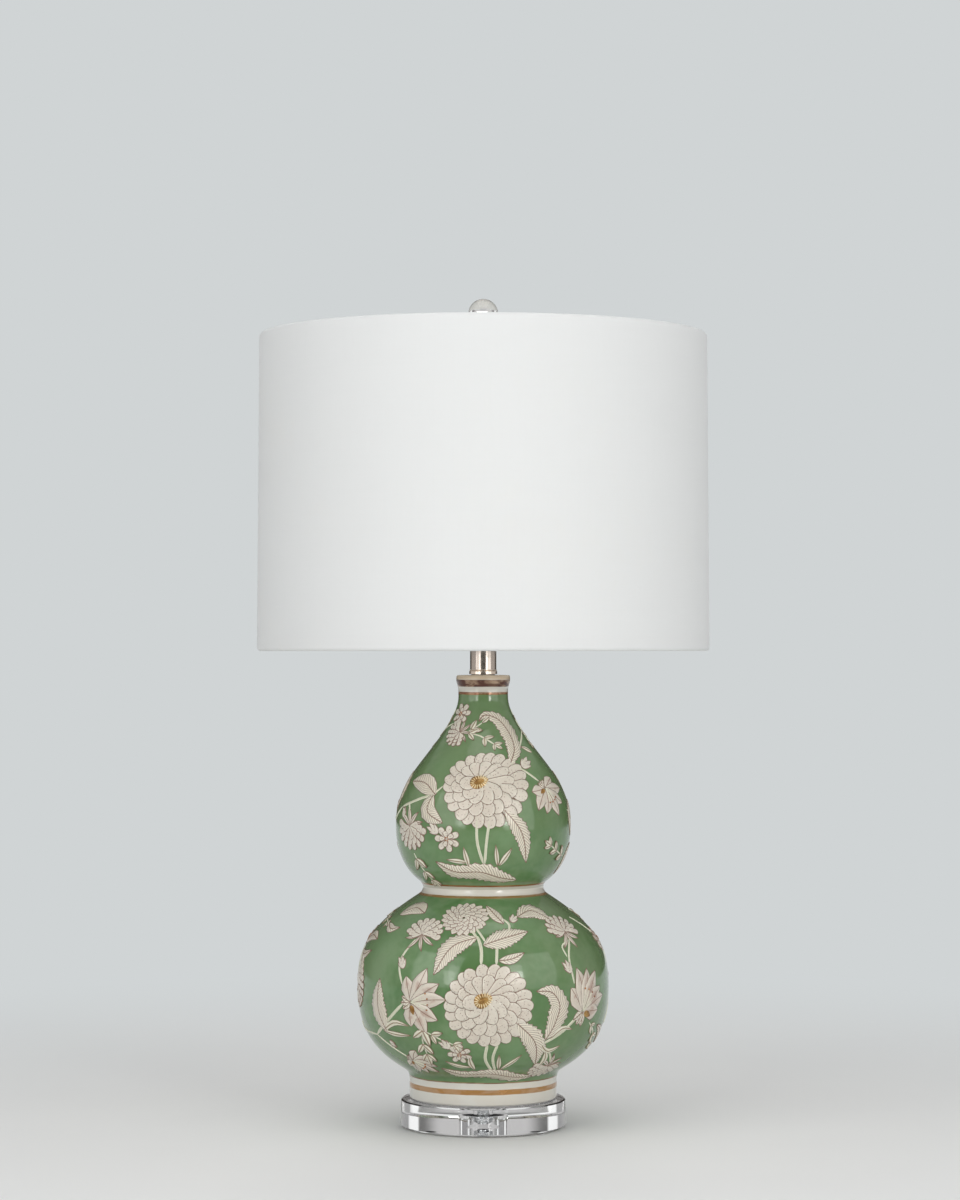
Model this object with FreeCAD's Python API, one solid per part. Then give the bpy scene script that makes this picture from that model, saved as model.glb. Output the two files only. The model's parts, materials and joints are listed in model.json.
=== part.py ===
"""Double gourd table lamp: a glazed ceramic body on a clear acrylic disc, with a nickel neck, a turn-knob
socket, a harp, a white drum shade and a clear ball finial.

Millimetres, +Z up. The origin is on the table under the lamp's axis, and the front of the lamp faces -Y.
Each piece is written to its own file in parts/.
"""

import FreeCAD
import Part
import math
import os

V = FreeCAD.Vector
UP = V(0, 0, 1)

# --- clearances ---------------------------------------------------------------------------------------
THREAD_CLEARANCE = 0.1      # radial, between a nut or hub and the lamp pipe
RUNNING_CLEARANCE = 0.05    # radial, where a shaft turns in a hole
SLIP_CLEARANCE = 0.1        # between nested sheet parts of one assembly
TURNING_GAP = 0.3           # between faces of pieces that turn on each other

# --- foot: bumpers, acrylic disc and the nut under it -------------------------------------------------
BUMPER_RADIUS = 5.0
BUMPER_HEIGHT = 1.6
BUMPER_COUNT = 4
BUMPER_INSET = 13.5         # from the disc's lower edge to a bumper's centre
DISC_BOTTOM_RADIUS = 70.0
DISC_TOP_RADIUS = 69.2
DISC_THICKNESS = 22.4
DISC_EDGE_BEVEL = 1.0
DISC_HOLE_CLEARANCE = 0.5
COUNTERBORE_CLEARANCE = 2.0
COUNTERBORE_DEPTH = 10.0
BASE_WASHER_RADIUS = 12.0
BASE_WASHER_THICKNESS = 1.5
NUT_ACROSS_FLATS = 14.3
NUT_THICKNESS = 4.8
PIPE_RADIUS = 5.1
PIPE_BORE_RADIUS = 3.4
PIPE_TAIL = 1.2             # thread left showing under the base nut

# --- ceramic body: outer radii, and heights above its foot --------------------------------------------
GASKET_THICKNESS = 1.0
GASKET_WIDTH = 4.0
CERAMIC_WALL = 6.0
CERAMIC_TOP_PLATE = 6.0
CERAMIC_TOP_HOLE_RADIUS = 6.5
FOOT_RADIUS = 62.1
FOOT_COLLAR_HEIGHT = 15.0
FOOT_EDGE_BEVEL = 1.0
LOWER_BULB_RADIUS = 105.9
LOWER_BULB_HEIGHT = 93.8
WAIST_RADIUS = 51.0
WAIST_HEIGHT = 177.2
WAIST_HALF_BAND = 5.6       # half the height of the waist's tight curve
WAIST_FLARE = 3.0           # how much wider the waist is at the ends of that curve
UPPER_BULB_RADIUS = 73.8
UPPER_BULB_HEIGHT = 228.6
NECK_RADIUS = 20.9
NECK_START_HEIGHT = 338.0
NECK_STRAIGHT = 5.1
LIP_RADIUS = 22.7
LIP_FLARE_HEIGHT = 9.0
LIP_ROUNDING_HEIGHT = 3.6
LIP_TOP_RADIUS = 21.0

# --- cord outlet in the back of the foot --------------------------------------------------------------
OUTLET_HEIGHT = 9.2         # of its centre above the ceramic's foot
OUTLET_HOLE_RADIUS = 5.5
GROMMET_BORE_RADIUS = 3.6
GROMMET_FLANGE_RADIUS = 7.6
GROMMET_FLANGE_THICKNESS = 1.6
GROMMET_BEAD_RADIUS = 6.3
GROMMET_BEAD_THICKNESS = 1.6

# --- neck ---------------------------------------------------------------------------------------------
NECK_WASHER_RADIUS = 10.0
NECK_WASHER_THICKNESS = 0.8
TUBE_RADIUS = 11.1
TUBE_WALL = 1.0
TUBE_LENGTH = 36.0
LOWER_RING_RADIUS = 11.8
LOWER_RING_THICKNESS = 3.8
LOWER_RING_GROOVE = 0.45
UPPER_RING_RADIUS = 11.8
UPPER_RING_THICKNESS = 2.0
RING_SPIGOT = 3.0

# --- harp and its saddle ------------------------------------------------------------------------------
SADDLE_THICKNESS = 1.6
SADDLE_WIDTH = 14.0
SADDLE_PRONG_WIDTH = 5.0
SADDLE_PRONG_HEIGHT = 15.0
HARP_LEG_X = 30.0           # from the axis to the centre of a harp leg
HARP_WIRE_RADIUS = 2.0
HARP_HEIGHT = 222.3         # from the saddle to the top of the boss
HARP_LEG_START = 2.0
HARP_LEG_STRAIGHT = 42.0
HARP_WAIST_X = 57.0         # widest half width of the loop
HARP_WIDE_LOW = 96.0
HARP_WIDE_HIGH = 156.0
HARP_SHOULDER_X = 38.0
HARP_SHOULDER_DROP = 17.0
HARP_TOP_X = 15.0
HARP_BOSS_RADIUS = 6.5
HARP_BOSS_THICKNESS = 4.6
SLEEVE_LENGTH = 17.0
SLEEVE_WALL = 0.7
SLEEVE_CLEARANCE = 0.4

# --- swivel stud on the harp --------------------------------------------------------------------------
STUD_SHANK_RADIUS = 3.0
STUD_PLATE_RADIUS = 9.5
STUD_PLATE_THICKNESS = 1.6
STUD_RIVET_RADIUS = 5.0
STUD_RIVET_THICKNESS = 1.2
STUD_THREAD_RADIUS = 3.15
STUD_THREAD_LENGTH = 10.0   # above the fitter's washer

# --- socket -------------------------------------------------------------------------------------------
CAP_HUB_RADIUS = 8.4
CAP_HUB_HEIGHT = 9.0
CAP_DOME_HEIGHT = 12.0
CAP_SKIRT_HEIGHT = 5.0
SOCKET_SHEET = 0.7
SHELL_RADIUS = 16.6
SHELL_LENGTH = 46.0
SHELL_BEAD = 0.6
LINER_SHEET = 0.6
BODY_BLOCK_HEIGHT = 19.0
BODY_FLAT = 11.4            # from the axis to the flats that carry the terminal screws
SCREW_SHELL_WALL = 0.5
THREAD_RIDGE = 0.7
THREAD_PITCH = 3.63
THREAD_LEAD = 1.5           # from the bottom of the bulb's cap to its thread
TERMINAL_HEAD_RADIUS = 3.2
TERMINAL_HEAD_THICKNESS = 1.8
TERMINAL_SHANK_RADIUS = 1.7
TERMINAL_SHANK_LENGTH = 4.0
SET_SCREW_RADIUS = 1.5
CONTACT_WIDTH = 5.0
CONTACT_LENGTH = 16.0
CONTACT_THICKNESS = 0.6
CONTACT_RISE = 2.0

# --- switch -------------------------------------------------------------------------------------------
STEM_RADIUS = 2.0
STEM_INSIDE = 8.0           # how far from the axis the stem starts
STEM_OUTSIDE = 12.0         # how far it stands out of the socket shell
SLOT_CLEARANCE = 1.4
KNOB_RADIUS = 6.0
KNOB_LENGTH = 13.0
KNOB_RIBS = 12
KNOB_RIB_DEPTH = 0.5

# --- bulb, heights above its tip ----------------------------------------------------------------------
BULB_TIP_RADIUS = 4.6
BULB_TIP_HEIGHT = 1.6
BULB_INSULATOR_HEIGHT = 5.0
BULB_INSULATOR_TOP_RADIUS = 10.6
BULB_CAP_RADIUS = 13.0
BULB_CAP_TOP = 25.0
BULB_CAP_SHEET = 0.4
BULB_SEAT_DEPTH = 2.0       # how far the glass goes into its cap
BULB_THREADS = 4
BULB_GLASS_WALL = 0.8
BULB_NECK_RADIUS = 13.8
BULB_NECK_HEIGHT = 30.0
BULB_RADIUS = 30.0
BULB_WIDEST_HEIGHT = 76.0
BULB_LENGTH = 107.0
BULB_STEM_RADIUS = 4.0
BULB_STEM_TOP = 58.0
FILAMENT_HEIGHT = 76.0
FILAMENT_HALF_LENGTH = 12.0
FILAMENT_RADIUS = 0.7
LEAD_RADIUS = 0.4

# --- shade --------------------------------------------------------------------------------------------
SHADE_BOTTOM_RADIUS = 190.5
SHADE_TAPER = 1.9           # how much smaller the top rim's radius is
SHADE_HEIGHT = 266.7
FABRIC_THICKNESS = 0.6
HEM_SLACK = 0.45            # air between the liner and the ring in a hem
HEM_RETURN = 4.0
LINER_THICKNESS = 0.4
RING_WIRE_RADIUS = 1.35
SPOKE_COUNT = 3
SPOKE_RADIUS = 1.15
SPOKE_START_ANGLE = 90.0
SPOKE_SLOPE_RUN = 13.0
FITTER_DROP = 12.0          # from the rim down to the top of the fitter's washer
FITTER_WASHER_RADIUS = 12.5
FITTER_WASHER_THICKNESS = 1.8
FITTER_HOLE_RADIUS = 5.5
SPOKE_NOTCH_CLEARANCE = 0.4

# --- finial -------------------------------------------------------------------------------------------
BALL_RADIUS = 12.5
BALL_HEIGHT = 29.9          # of its centre above the fitter's washer
BALL_SEAT_DEPTH = 2.2
FINIAL_FLANGE_RADIUS = 7.6
FINIAL_FLANGE_HEIGHT = 2.4
FINIAL_STEM_RADIUS = 5.2
FINIAL_CUP_RADIUS = 7.2
FINIAL_BORE_CLEARANCE = 0.1

# --- heights that follow from the sizes above ---------------------------------------------------------
DISC_BOTTOM = BUMPER_HEIGHT
DISC_TOP = DISC_BOTTOM + DISC_THICKNESS
COUNTERBORE_TOP = DISC_BOTTOM + COUNTERBORE_DEPTH
BASE_NUT_TOP = COUNTERBORE_TOP - BASE_WASHER_THICKNESS
BASE_NUT_BOTTOM = BASE_NUT_TOP - NUT_THICKNESS
PIPE_BOTTOM = BASE_NUT_BOTTOM - PIPE_TAIL
CERAMIC_FOOT = DISC_TOP + GASKET_THICKNESS
LIP_START_HEIGHT = NECK_START_HEIGHT + NECK_STRAIGHT
LIP_HEIGHT = LIP_START_HEIGHT + LIP_FLARE_HEIGHT
CERAMIC_HEIGHT = LIP_HEIGHT + LIP_ROUNDING_HEIGHT
CERAMIC_TOP = CERAMIC_FOOT + CERAMIC_HEIGHT
OUTLET_Z = CERAMIC_FOOT + OUTLET_HEIGHT
LOWER_RING_BOTTOM = CERAMIC_TOP + NECK_WASHER_THICKNESS
TUBE_BOTTOM = LOWER_RING_BOTTOM + LOWER_RING_THICKNESS
TUBE_TOP = TUBE_BOTTOM + TUBE_LENGTH
UPPER_RING_TOP = TUBE_TOP + UPPER_RING_THICKNESS
SADDLE_BOTTOM = UPPER_RING_TOP + NUT_THICKNESS
SADDLE_TOP = SADDLE_BOTTOM + SADDLE_THICKNESS
HARP_TOP = SADDLE_TOP + HARP_HEIGHT
HARP_RUN_Z = HARP_TOP - HARP_BOSS_THICKNESS / 2
STUD_PLATE_TOP = HARP_TOP + TURNING_GAP + STUD_PLATE_THICKNESS
FITTER_WASHER_TOP = STUD_PLATE_TOP + FITTER_WASHER_THICKNESS
SHADE_TOP = FITTER_WASHER_TOP + FITTER_DROP
SHADE_BOTTOM = SHADE_TOP - SHADE_HEIGHT
CAP_DOME_BOTTOM = SADDLE_TOP + CAP_HUB_HEIGHT
CAP_SKIRT_BOTTOM = CAP_DOME_BOTTOM + CAP_DOME_HEIGHT
CAP_TOP = CAP_SKIRT_BOTTOM + CAP_SKIRT_HEIGHT
CAP_RADIUS = SHELL_RADIUS + SLIP_CLEARANCE + SOCKET_SHEET
SHELL_BOTTOM = CAP_SKIRT_BOTTOM
SHELL_TOP = SHELL_BOTTOM + SHELL_LENGTH
SHELL_INNER_RADIUS = SHELL_RADIUS - SOCKET_SHEET
LINER_RADIUS = SHELL_INNER_RADIUS - SLIP_CLEARANCE
BLOCK_RADIUS = LINER_RADIUS - LINER_SHEET - SLIP_CLEARANCE
BLOCK_TOP = SHELL_BOTTOM + BODY_BLOCK_HEIGHT
BULB_TIP = BLOCK_TOP + CONTACT_THICKNESS + CONTACT_RISE + TURNING_GAP
BULB_CAP_BOTTOM = BULB_TIP + BULB_INSULATOR_HEIGHT
THREAD_BOTTOM = BULB_CAP_BOTTOM + THREAD_LEAD
STEM_Z = SHELL_BOTTOM + BODY_BLOCK_HEIGHT / 2
PIPE_TOP = SADDLE_TOP + CAP_HUB_HEIGHT
SLEEVE_BOTTOM = SADDLE_TOP + TURNING_GAP
PRONG_X = HARP_LEG_X - HARP_WIRE_RADIUS - SADDLE_THICKNESS / 2
SLEEVE_X = HARP_LEG_X - SADDLE_THICKNESS / 2
SLEEVE_BORE_RADIUS = (
    math.hypot(HARP_WIRE_RADIUS + SADDLE_THICKNESS / 2, SADDLE_PRONG_WIDTH / 2) + SLEEVE_CLEARANCE
)
BALL_Z = FITTER_WASHER_TOP + BALL_HEIGHT


# --- general shapes -----------------------------------------------------------------------------------
def rod(radius, low, high, x=0.0, y=0.0):
    """A solid upright cylinder."""
    return Part.makeCylinder(radius, high - low, V(x, y, low))


def tube(radius, bore, low, high):
    """An upright tube on the lamp's axis."""
    return rod(radius, low, high).cut(rod(bore, low - 1, high + 1))


def corner(radius, height):
    """A point of an outline that is turned about the lamp's axis."""
    return V(radius, 0, height)


def run_of_lines(points):
    """Straight edges from each point to the next."""
    return [Part.LineSegment(a, b).toShape() for a, b in zip(points, points[1:])]


def turned(edges):
    """The solid that a closed outline sweeps about the lamp's axis."""
    return Part.Face(Part.Wire(edges)).revolve(V(0, 0, 0), UP, 360)


def turned_polygon(points):
    """The solid that a closed polygon of (radius, height) pairs sweeps about the lamp's axis."""
    corners = [corner(r, z) for r, z in points]
    return turned(run_of_lines([*corners, corners[0]]))


def curve(start, start_angle, start_pull, end, end_angle, end_pull):
    """A smooth edge between two points of an outline. The angles are its directions there, in degrees from
    straight outwards, and the pulls say how long it holds them, as shares of the straight way across."""
    span = start.distanceToPoint(end)
    leave = V(math.cos(math.radians(start_angle)), 0, math.sin(math.radians(start_angle)))
    arrive = V(math.cos(math.radians(end_angle)), 0, math.sin(math.radians(end_angle)))
    bezier = Part.BezierCurve()
    bezier.setPoles([start, start + leave * span * start_pull, end - arrive * span * end_pull, end])
    return bezier.toShape()


def hex_nut(low, thickness, bore):
    """A hexagon nut on the lamp's axis, with its corners eased."""
    point_radius = NUT_ACROSS_FLATS / math.sqrt(3)
    points = [
        V(point_radius * math.cos(math.radians(60 * k)), point_radius * math.sin(math.radians(60 * k)), low)
        for k in range(7)
    ]
    body = Part.Face(Part.Wire(run_of_lines(points))).extrude(V(0, 0, thickness))
    ease = point_radius - NUT_ACROSS_FLATS / 2
    easing = turned_polygon([
        (0, low), (NUT_ACROSS_FLATS / 2, low), (point_radius, low + ease / 2),
        (point_radius, low + thickness - ease / 2), (NUT_ACROSS_FLATS / 2, low + thickness),
        (0, low + thickness),
    ])
    return body.common(easing).cut(rod(bore, low - 1, low + thickness + 1))


def bent_wire(points, radius):
    """A round wire along straight runs joined by arcs as large as the runs beside them allow."""
    edges = []
    reached = points[0]
    for before, here, after in zip(points, points[1:], points[2:]):
        back, forth = (before - here).normalize(), (after - here).normalize()
        turn = math.pi - back.getAngle(forth)
        inset = 0.45 * min(here.distanceToPoint(before), here.distanceToPoint(after))
        start, end = here + back * inset, here + forth * inset
        middle_way = (back + forth).normalize()
        bend_radius = inset / math.tan(turn / 2)
        middle = here + middle_way * (bend_radius / math.cos(turn / 2) - bend_radius)
        edges.append(Part.LineSegment(reached, start).toShape())
        edges.append(Part.Arc(start, middle, end).toShape())
        reached = end
    edges.append(Part.LineSegment(reached, points[-1]).toShape())
    section = Part.Wire(Part.Circle(points[0], points[1] - points[0], radius).toShape())
    return Part.Wire(edges).makePipeShell([section], True, False)


# --- foot ---------------------------------------------------------------------------------------------
def bumper_feet():
    """Clear soft bumpers stuck under the acrylic disc."""
    circle = DISC_BOTTOM_RADIUS - BUMPER_INSET
    feet = []
    for k in range(BUMPER_COUNT):
        angle = math.radians(45 + 360 * k / BUMPER_COUNT)
        x, y = circle * math.cos(angle), circle * math.sin(angle)
        feet.append(rod(BUMPER_RADIUS, 0, BUMPER_HEIGHT, x, y))
    return Part.makeCompound(feet)


def acrylic_base():
    """Clear cast disc with bevelled edges, drilled for the lamp pipe and counterbored for its nut."""
    bevel = DISC_EDGE_BEVEL
    hole = PIPE_RADIUS + DISC_HOLE_CLEARANCE
    counterbore = BASE_WASHER_RADIUS + COUNTERBORE_CLEARANCE
    return turned_polygon([
        (counterbore, DISC_BOTTOM), (DISC_BOTTOM_RADIUS - bevel, DISC_BOTTOM),
        (DISC_BOTTOM_RADIUS, DISC_BOTTOM + bevel), (DISC_TOP_RADIUS, DISC_TOP - bevel),
        (DISC_TOP_RADIUS - bevel, DISC_TOP), (hole, DISC_TOP),
        (hole, COUNTERBORE_TOP), (counterbore, COUNTERBORE_TOP),
    ])


def base_washer():
    """Steel washer between the acrylic disc and the base nut."""
    return tube(BASE_WASHER_RADIUS, PIPE_RADIUS + THREAD_CLEARANCE, BASE_NUT_TOP, COUNTERBORE_TOP)


def base_nut():
    """Nut that pulls the whole stack together from below."""
    return hex_nut(BASE_NUT_BOTTOM, NUT_THICKNESS, PIPE_RADIUS + THREAD_CLEARANCE)


def lamp_pipe():
    """Hollow threaded rod that runs from the base nut to the socket cap and carries the wires."""
    return tube(PIPE_RADIUS, PIPE_BORE_RADIUS, PIPE_BOTTOM, PIPE_TOP)


def foot_gasket():
    """Soft clear ring between the ceramic foot and the acrylic disc."""
    middle = FOOT_RADIUS - CERAMIC_WALL / 2
    return tube(middle + GASKET_WIDTH / 2, middle - GASKET_WIDTH / 2, DISC_TOP, CERAMIC_FOOT)


# --- ceramic body -------------------------------------------------------------------------------------
def gourd_outline(inset):
    """Edges of the gourd's wall from the top of its foot collar to the top of its straight neck, drawn in
    from the outer wall by inset."""
    def at(radius, height):
        return corner(radius - inset, CERAMIC_FOOT + height)

    collar = at(FOOT_RADIUS, FOOT_COLLAR_HEIGHT)
    underside = at(
        FOOT_RADIUS + 0.21 * (LOWER_BULB_RADIUS - FOOT_RADIUS),
        FOOT_COLLAR_HEIGHT + 0.164 * (LOWER_BULB_HEIGHT - FOOT_COLLAR_HEIGHT),
    )
    lower_bulb = at(LOWER_BULB_RADIUS, LOWER_BULB_HEIGHT)
    waist_low = at(WAIST_RADIUS + WAIST_FLARE, WAIST_HEIGHT - WAIST_HALF_BAND)
    waist = at(WAIST_RADIUS, WAIST_HEIGHT)
    waist_high = at(WAIST_RADIUS + WAIST_FLARE, WAIST_HEIGHT + WAIST_HALF_BAND)
    upper_bulb = at(UPPER_BULB_RADIUS, UPPER_BULB_HEIGHT)
    shoulder = at(
        NECK_RADIUS + 0.425 * (UPPER_BULB_RADIUS - NECK_RADIUS),
        UPPER_BULB_HEIGHT + 0.602 * (NECK_START_HEIGHT - UPPER_BULB_HEIGHT),
    )
    neck = at(NECK_RADIUS, NECK_START_HEIGHT)
    return [
        curve(collar, 90, 0.52, underside, 32.3, 0.45),
        curve(underside, 32.3, 0.33, lower_bulb, 90, 0.48),
        curve(lower_bulb, 90, 0.41, waist_low, 147, 0.45),
        curve(waist_low, 147, 0.30, waist, 90, 0.45),
        curve(waist, 90, 0.45, waist_high, 36.6, 0.30),
        curve(waist_high, 36.6, 0.32, upper_bulb, 90, 0.40),
        curve(upper_bulb, 90, 0.41, shoulder, 127.3, 0.34),
        curve(shoulder, 127.3, 0.39, neck, 90, 0.28),
        *run_of_lines([neck, at(NECK_RADIUS, LIP_START_HEIGHT)]),
    ]


def gourd():
    """The whole hollow double gourd on its foot ring, open below and closed on top around the pipe hole, with
    the cord outlet bored through the back of its foot."""
    lip_start = corner(NECK_RADIUS, CERAMIC_FOOT + LIP_START_HEIGHT)
    lip = corner(LIP_RADIUS, CERAMIC_FOOT + LIP_HEIGHT)
    lip_top = corner(LIP_TOP_RADIUS, CERAMIC_TOP)
    outer = turned([
        *run_of_lines([
            corner(FOOT_RADIUS, CERAMIC_FOOT + FOOT_COLLAR_HEIGHT),
            corner(FOOT_RADIUS, CERAMIC_FOOT + FOOT_EDGE_BEVEL),
            corner(FOOT_RADIUS - FOOT_EDGE_BEVEL, CERAMIC_FOOT),
            corner(0, CERAMIC_FOOT), corner(0, CERAMIC_TOP), lip_top,
        ]),
        curve(lip_top, 0, 0.45, lip, -90, 0.45),
        curve(lip, -90, 0.35, lip_start, -90, 0.35),
        *gourd_outline(0),
    ])
    cavity_top = CERAMIC_TOP - CERAMIC_TOP_PLATE
    inner_foot, inner_neck = FOOT_RADIUS - CERAMIC_WALL, NECK_RADIUS - CERAMIC_WALL
    cavity = turned([
        *run_of_lines([
            corner(inner_neck, CERAMIC_FOOT + LIP_START_HEIGHT), corner(inner_neck, cavity_top),
            corner(0, cavity_top), corner(0, CERAMIC_FOOT - 1), corner(inner_foot, CERAMIC_FOOT - 1),
            corner(inner_foot, CERAMIC_FOOT + FOOT_COLLAR_HEIGHT),
        ]),
        *gourd_outline(CERAMIC_WALL),
    ])
    pipe_hole = rod(CERAMIC_TOP_HOLE_RADIUS, cavity_top - 1, CERAMIC_TOP + 1)
    cord_hole = Part.makeCylinder(
        OUTLET_HOLE_RADIUS, 3 * CERAMIC_WALL, V(0, FOOT_RADIUS - 2 * CERAMIC_WALL, OUTLET_Z), V(0, 1, 0)
    )
    return outer.cut(cavity).cut(pipe_hole).cut(cord_hole)


def gourd_part(low, high):
    """The gourd between two heights. Its two castings are luted together at the waist."""
    return gourd().common(rod(2 * LOWER_BULB_RADIUS, low, high))


def lower_gourd():
    """Foot ring and lower bulb, up to the waist."""
    return gourd_part(CERAMIC_FOOT - 1, CERAMIC_FOOT + WAIST_HEIGHT)


def upper_gourd():
    """Upper bulb, neck and lip, down to the waist."""
    return gourd_part(CERAMIC_FOOT + WAIST_HEIGHT, CERAMIC_TOP + 1)


def cord_grommet():
    """Plastic bush that lines the cord outlet, with a flange outside and a snap bead inside."""
    def stage(radius, start, end):
        return Part.makeCylinder(radius, end - start, V(0, start, OUTLET_Z), V(0, 1, 0))

    wall_inside = math.sqrt((FOOT_RADIUS - CERAMIC_WALL) ** 2 - GROMMET_BEAD_RADIUS ** 2)
    bead_end = wall_inside - SLIP_CLEARANCE
    start = bead_end - GROMMET_BEAD_THICKNESS
    flange_start = FOOT_RADIUS + SLIP_CLEARANCE
    end = flange_start + GROMMET_FLANGE_THICKNESS
    bush = stage(OUTLET_HOLE_RADIUS - SLIP_CLEARANCE, start, end)
    bush = bush.fuse(stage(GROMMET_BEAD_RADIUS, start, bead_end))
    bush = bush.fuse(stage(GROMMET_FLANGE_RADIUS, flange_start, end))
    return bush.cut(stage(GROMMET_BORE_RADIUS, start - 1, end + 1))


# --- neck ---------------------------------------------------------------------------------------------
def neck_washer():
    """Rubber washer that keeps the metal neck off the glaze."""
    return tube(NECK_WASHER_RADIUS, PIPE_RADIUS + DISC_HOLE_CLEARANCE, CERAMIC_TOP, LOWER_RING_BOTTOM)


def lower_check_ring():
    """Turned ring under the neck tube, with a fine groove round it and a spigot that centres the tube."""
    spigot = TUBE_RADIUS - TUBE_WALL - SLIP_CLEARANCE
    bore = PIPE_RADIUS + THREAD_CLEARANCE
    outer, depth = LOWER_RING_RADIUS, LOWER_RING_GROOVE
    groove_z = TUBE_BOTTOM - 2 * depth
    return turned_polygon([
        (bore, LOWER_RING_BOTTOM), (outer, LOWER_RING_BOTTOM), (outer, groove_z - depth),
        (outer - depth, groove_z), (outer, groove_z + depth), (outer - depth, TUBE_BOTTOM),
        (spigot, TUBE_BOTTOM), (spigot, TUBE_BOTTOM + RING_SPIGOT), (bore, TUBE_BOTTOM + RING_SPIGOT),
    ])


def neck_tube():
    """Plain nickel tube between the two check rings."""
    return tube(TUBE_RADIUS, TUBE_RADIUS - TUBE_WALL, TUBE_BOTTOM, TUBE_TOP)


def upper_check_ring():
    """Ring that caps the neck tube and centres it on the pipe."""
    spigot = TUBE_RADIUS - TUBE_WALL - SLIP_CLEARANCE
    bore = PIPE_RADIUS + THREAD_CLEARANCE
    return turned_polygon([
        (bore, TUBE_TOP - RING_SPIGOT), (spigot, TUBE_TOP - RING_SPIGOT), (spigot, TUBE_TOP),
        (UPPER_RING_RADIUS, TUBE_TOP), (UPPER_RING_RADIUS, UPPER_RING_TOP), (bore, UPPER_RING_TOP),
    ])


def saddle_nut():
    """Nut on the pipe that the harp saddle is clamped against."""
    return hex_nut(UPPER_RING_TOP, NUT_THICKNESS, PIPE_RADIUS + THREAD_CLEARANCE)


# --- harp ---------------------------------------------------------------------------------------------
def harp_saddle():
    """Stamped strip across the pipe, with a prong turned up at each end for a leg of the harp."""
    end = PRONG_X + SADDLE_THICKNESS / 2
    plate_start = V(-end, -SADDLE_PRONG_WIDTH / 2, SADDLE_BOTTOM)
    plate = Part.makeBox(2 * end, SADDLE_PRONG_WIDTH, SADDLE_THICKNESS, plate_start)
    middle = rod(SADDLE_WIDTH / 2, SADDLE_BOTTOM, SADDLE_TOP)
    saddle = plate.fuse(middle)
    for x in (-end, end - SADDLE_THICKNESS):
        corner_point = V(x, -SADDLE_PRONG_WIDTH / 2, SADDLE_BOTTOM)
        prong_height = SADDLE_THICKNESS + SADDLE_PRONG_HEIGHT
        saddle = saddle.fuse(Part.makeBox(SADDLE_THICKNESS, SADDLE_PRONG_WIDTH, prong_height, corner_point))
    hole = rod(PIPE_RADIUS + THREAD_CLEARANCE, SADDLE_BOTTOM - 1, SADDLE_TOP + 1)
    return saddle.removeSplitter().cut(hole)


def harp_wire():
    """The harp: one wire from leg to leg round the bulb, with a boss on top for the swivel stud."""
    side = [
        V(HARP_LEG_X, 0, SADDLE_TOP + HARP_LEG_START),
        V(HARP_LEG_X, 0, SADDLE_TOP + HARP_LEG_STRAIGHT),
        V(HARP_WAIST_X, 0, SADDLE_TOP + HARP_WIDE_LOW),
        V(HARP_WAIST_X, 0, SADDLE_TOP + HARP_WIDE_HIGH),
        V(HARP_SHOULDER_X, 0, HARP_RUN_Z - HARP_SHOULDER_DROP),
        V(HARP_TOP_X, 0, HARP_RUN_Z),
    ]
    other_side = [V(-p.x, 0, p.z) for p in reversed(side)]
    wire = bent_wire([*side, *other_side], HARP_WIRE_RADIUS)
    boss = rod(HARP_BOSS_RADIUS, HARP_TOP - HARP_BOSS_THICKNESS, HARP_TOP)
    hole = rod(STUD_SHANK_RADIUS + RUNNING_CLEARANCE, HARP_TOP - 2 * HARP_BOSS_THICKNESS, HARP_TOP + 1)
    return wire.fuse(boss).cut(hole)


def harp_sleeve(side):
    """Ferrule that locks one harp leg to its prong. It slides up the leg to free the harp."""
    radius = SLEEVE_BORE_RADIUS + SLEEVE_WALL
    sleeve = tube(radius, SLEEVE_BORE_RADIUS, SLEEVE_BOTTOM, SLEEVE_BOTTOM + SLEEVE_LENGTH)
    sleeve.translate(V(side * SLEEVE_X, 0, 0))
    return sleeve


def harp_stud():
    """Swivel stud riveted through the harp's boss, with the plate that the shade's fitter rests on and the
    thread that the finial screws onto."""
    rivet_top = HARP_TOP - HARP_BOSS_THICKNESS - TURNING_GAP
    plate_bottom = STUD_PLATE_TOP - STUD_PLATE_THICKNESS
    return turned_polygon([
        (0, rivet_top - STUD_RIVET_THICKNESS), (STUD_RIVET_RADIUS, rivet_top - STUD_RIVET_THICKNESS),
        (STUD_RIVET_RADIUS, rivet_top), (STUD_SHANK_RADIUS, rivet_top),
        (STUD_SHANK_RADIUS, plate_bottom), (STUD_PLATE_RADIUS, plate_bottom),
        (STUD_PLATE_RADIUS, STUD_PLATE_TOP), (STUD_THREAD_RADIUS, STUD_PLATE_TOP),
        (STUD_THREAD_RADIUS, FITTER_WASHER_TOP + STUD_THREAD_LENGTH),
        (0, FITTER_WASHER_TOP + STUD_THREAD_LENGTH),
    ])


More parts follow.
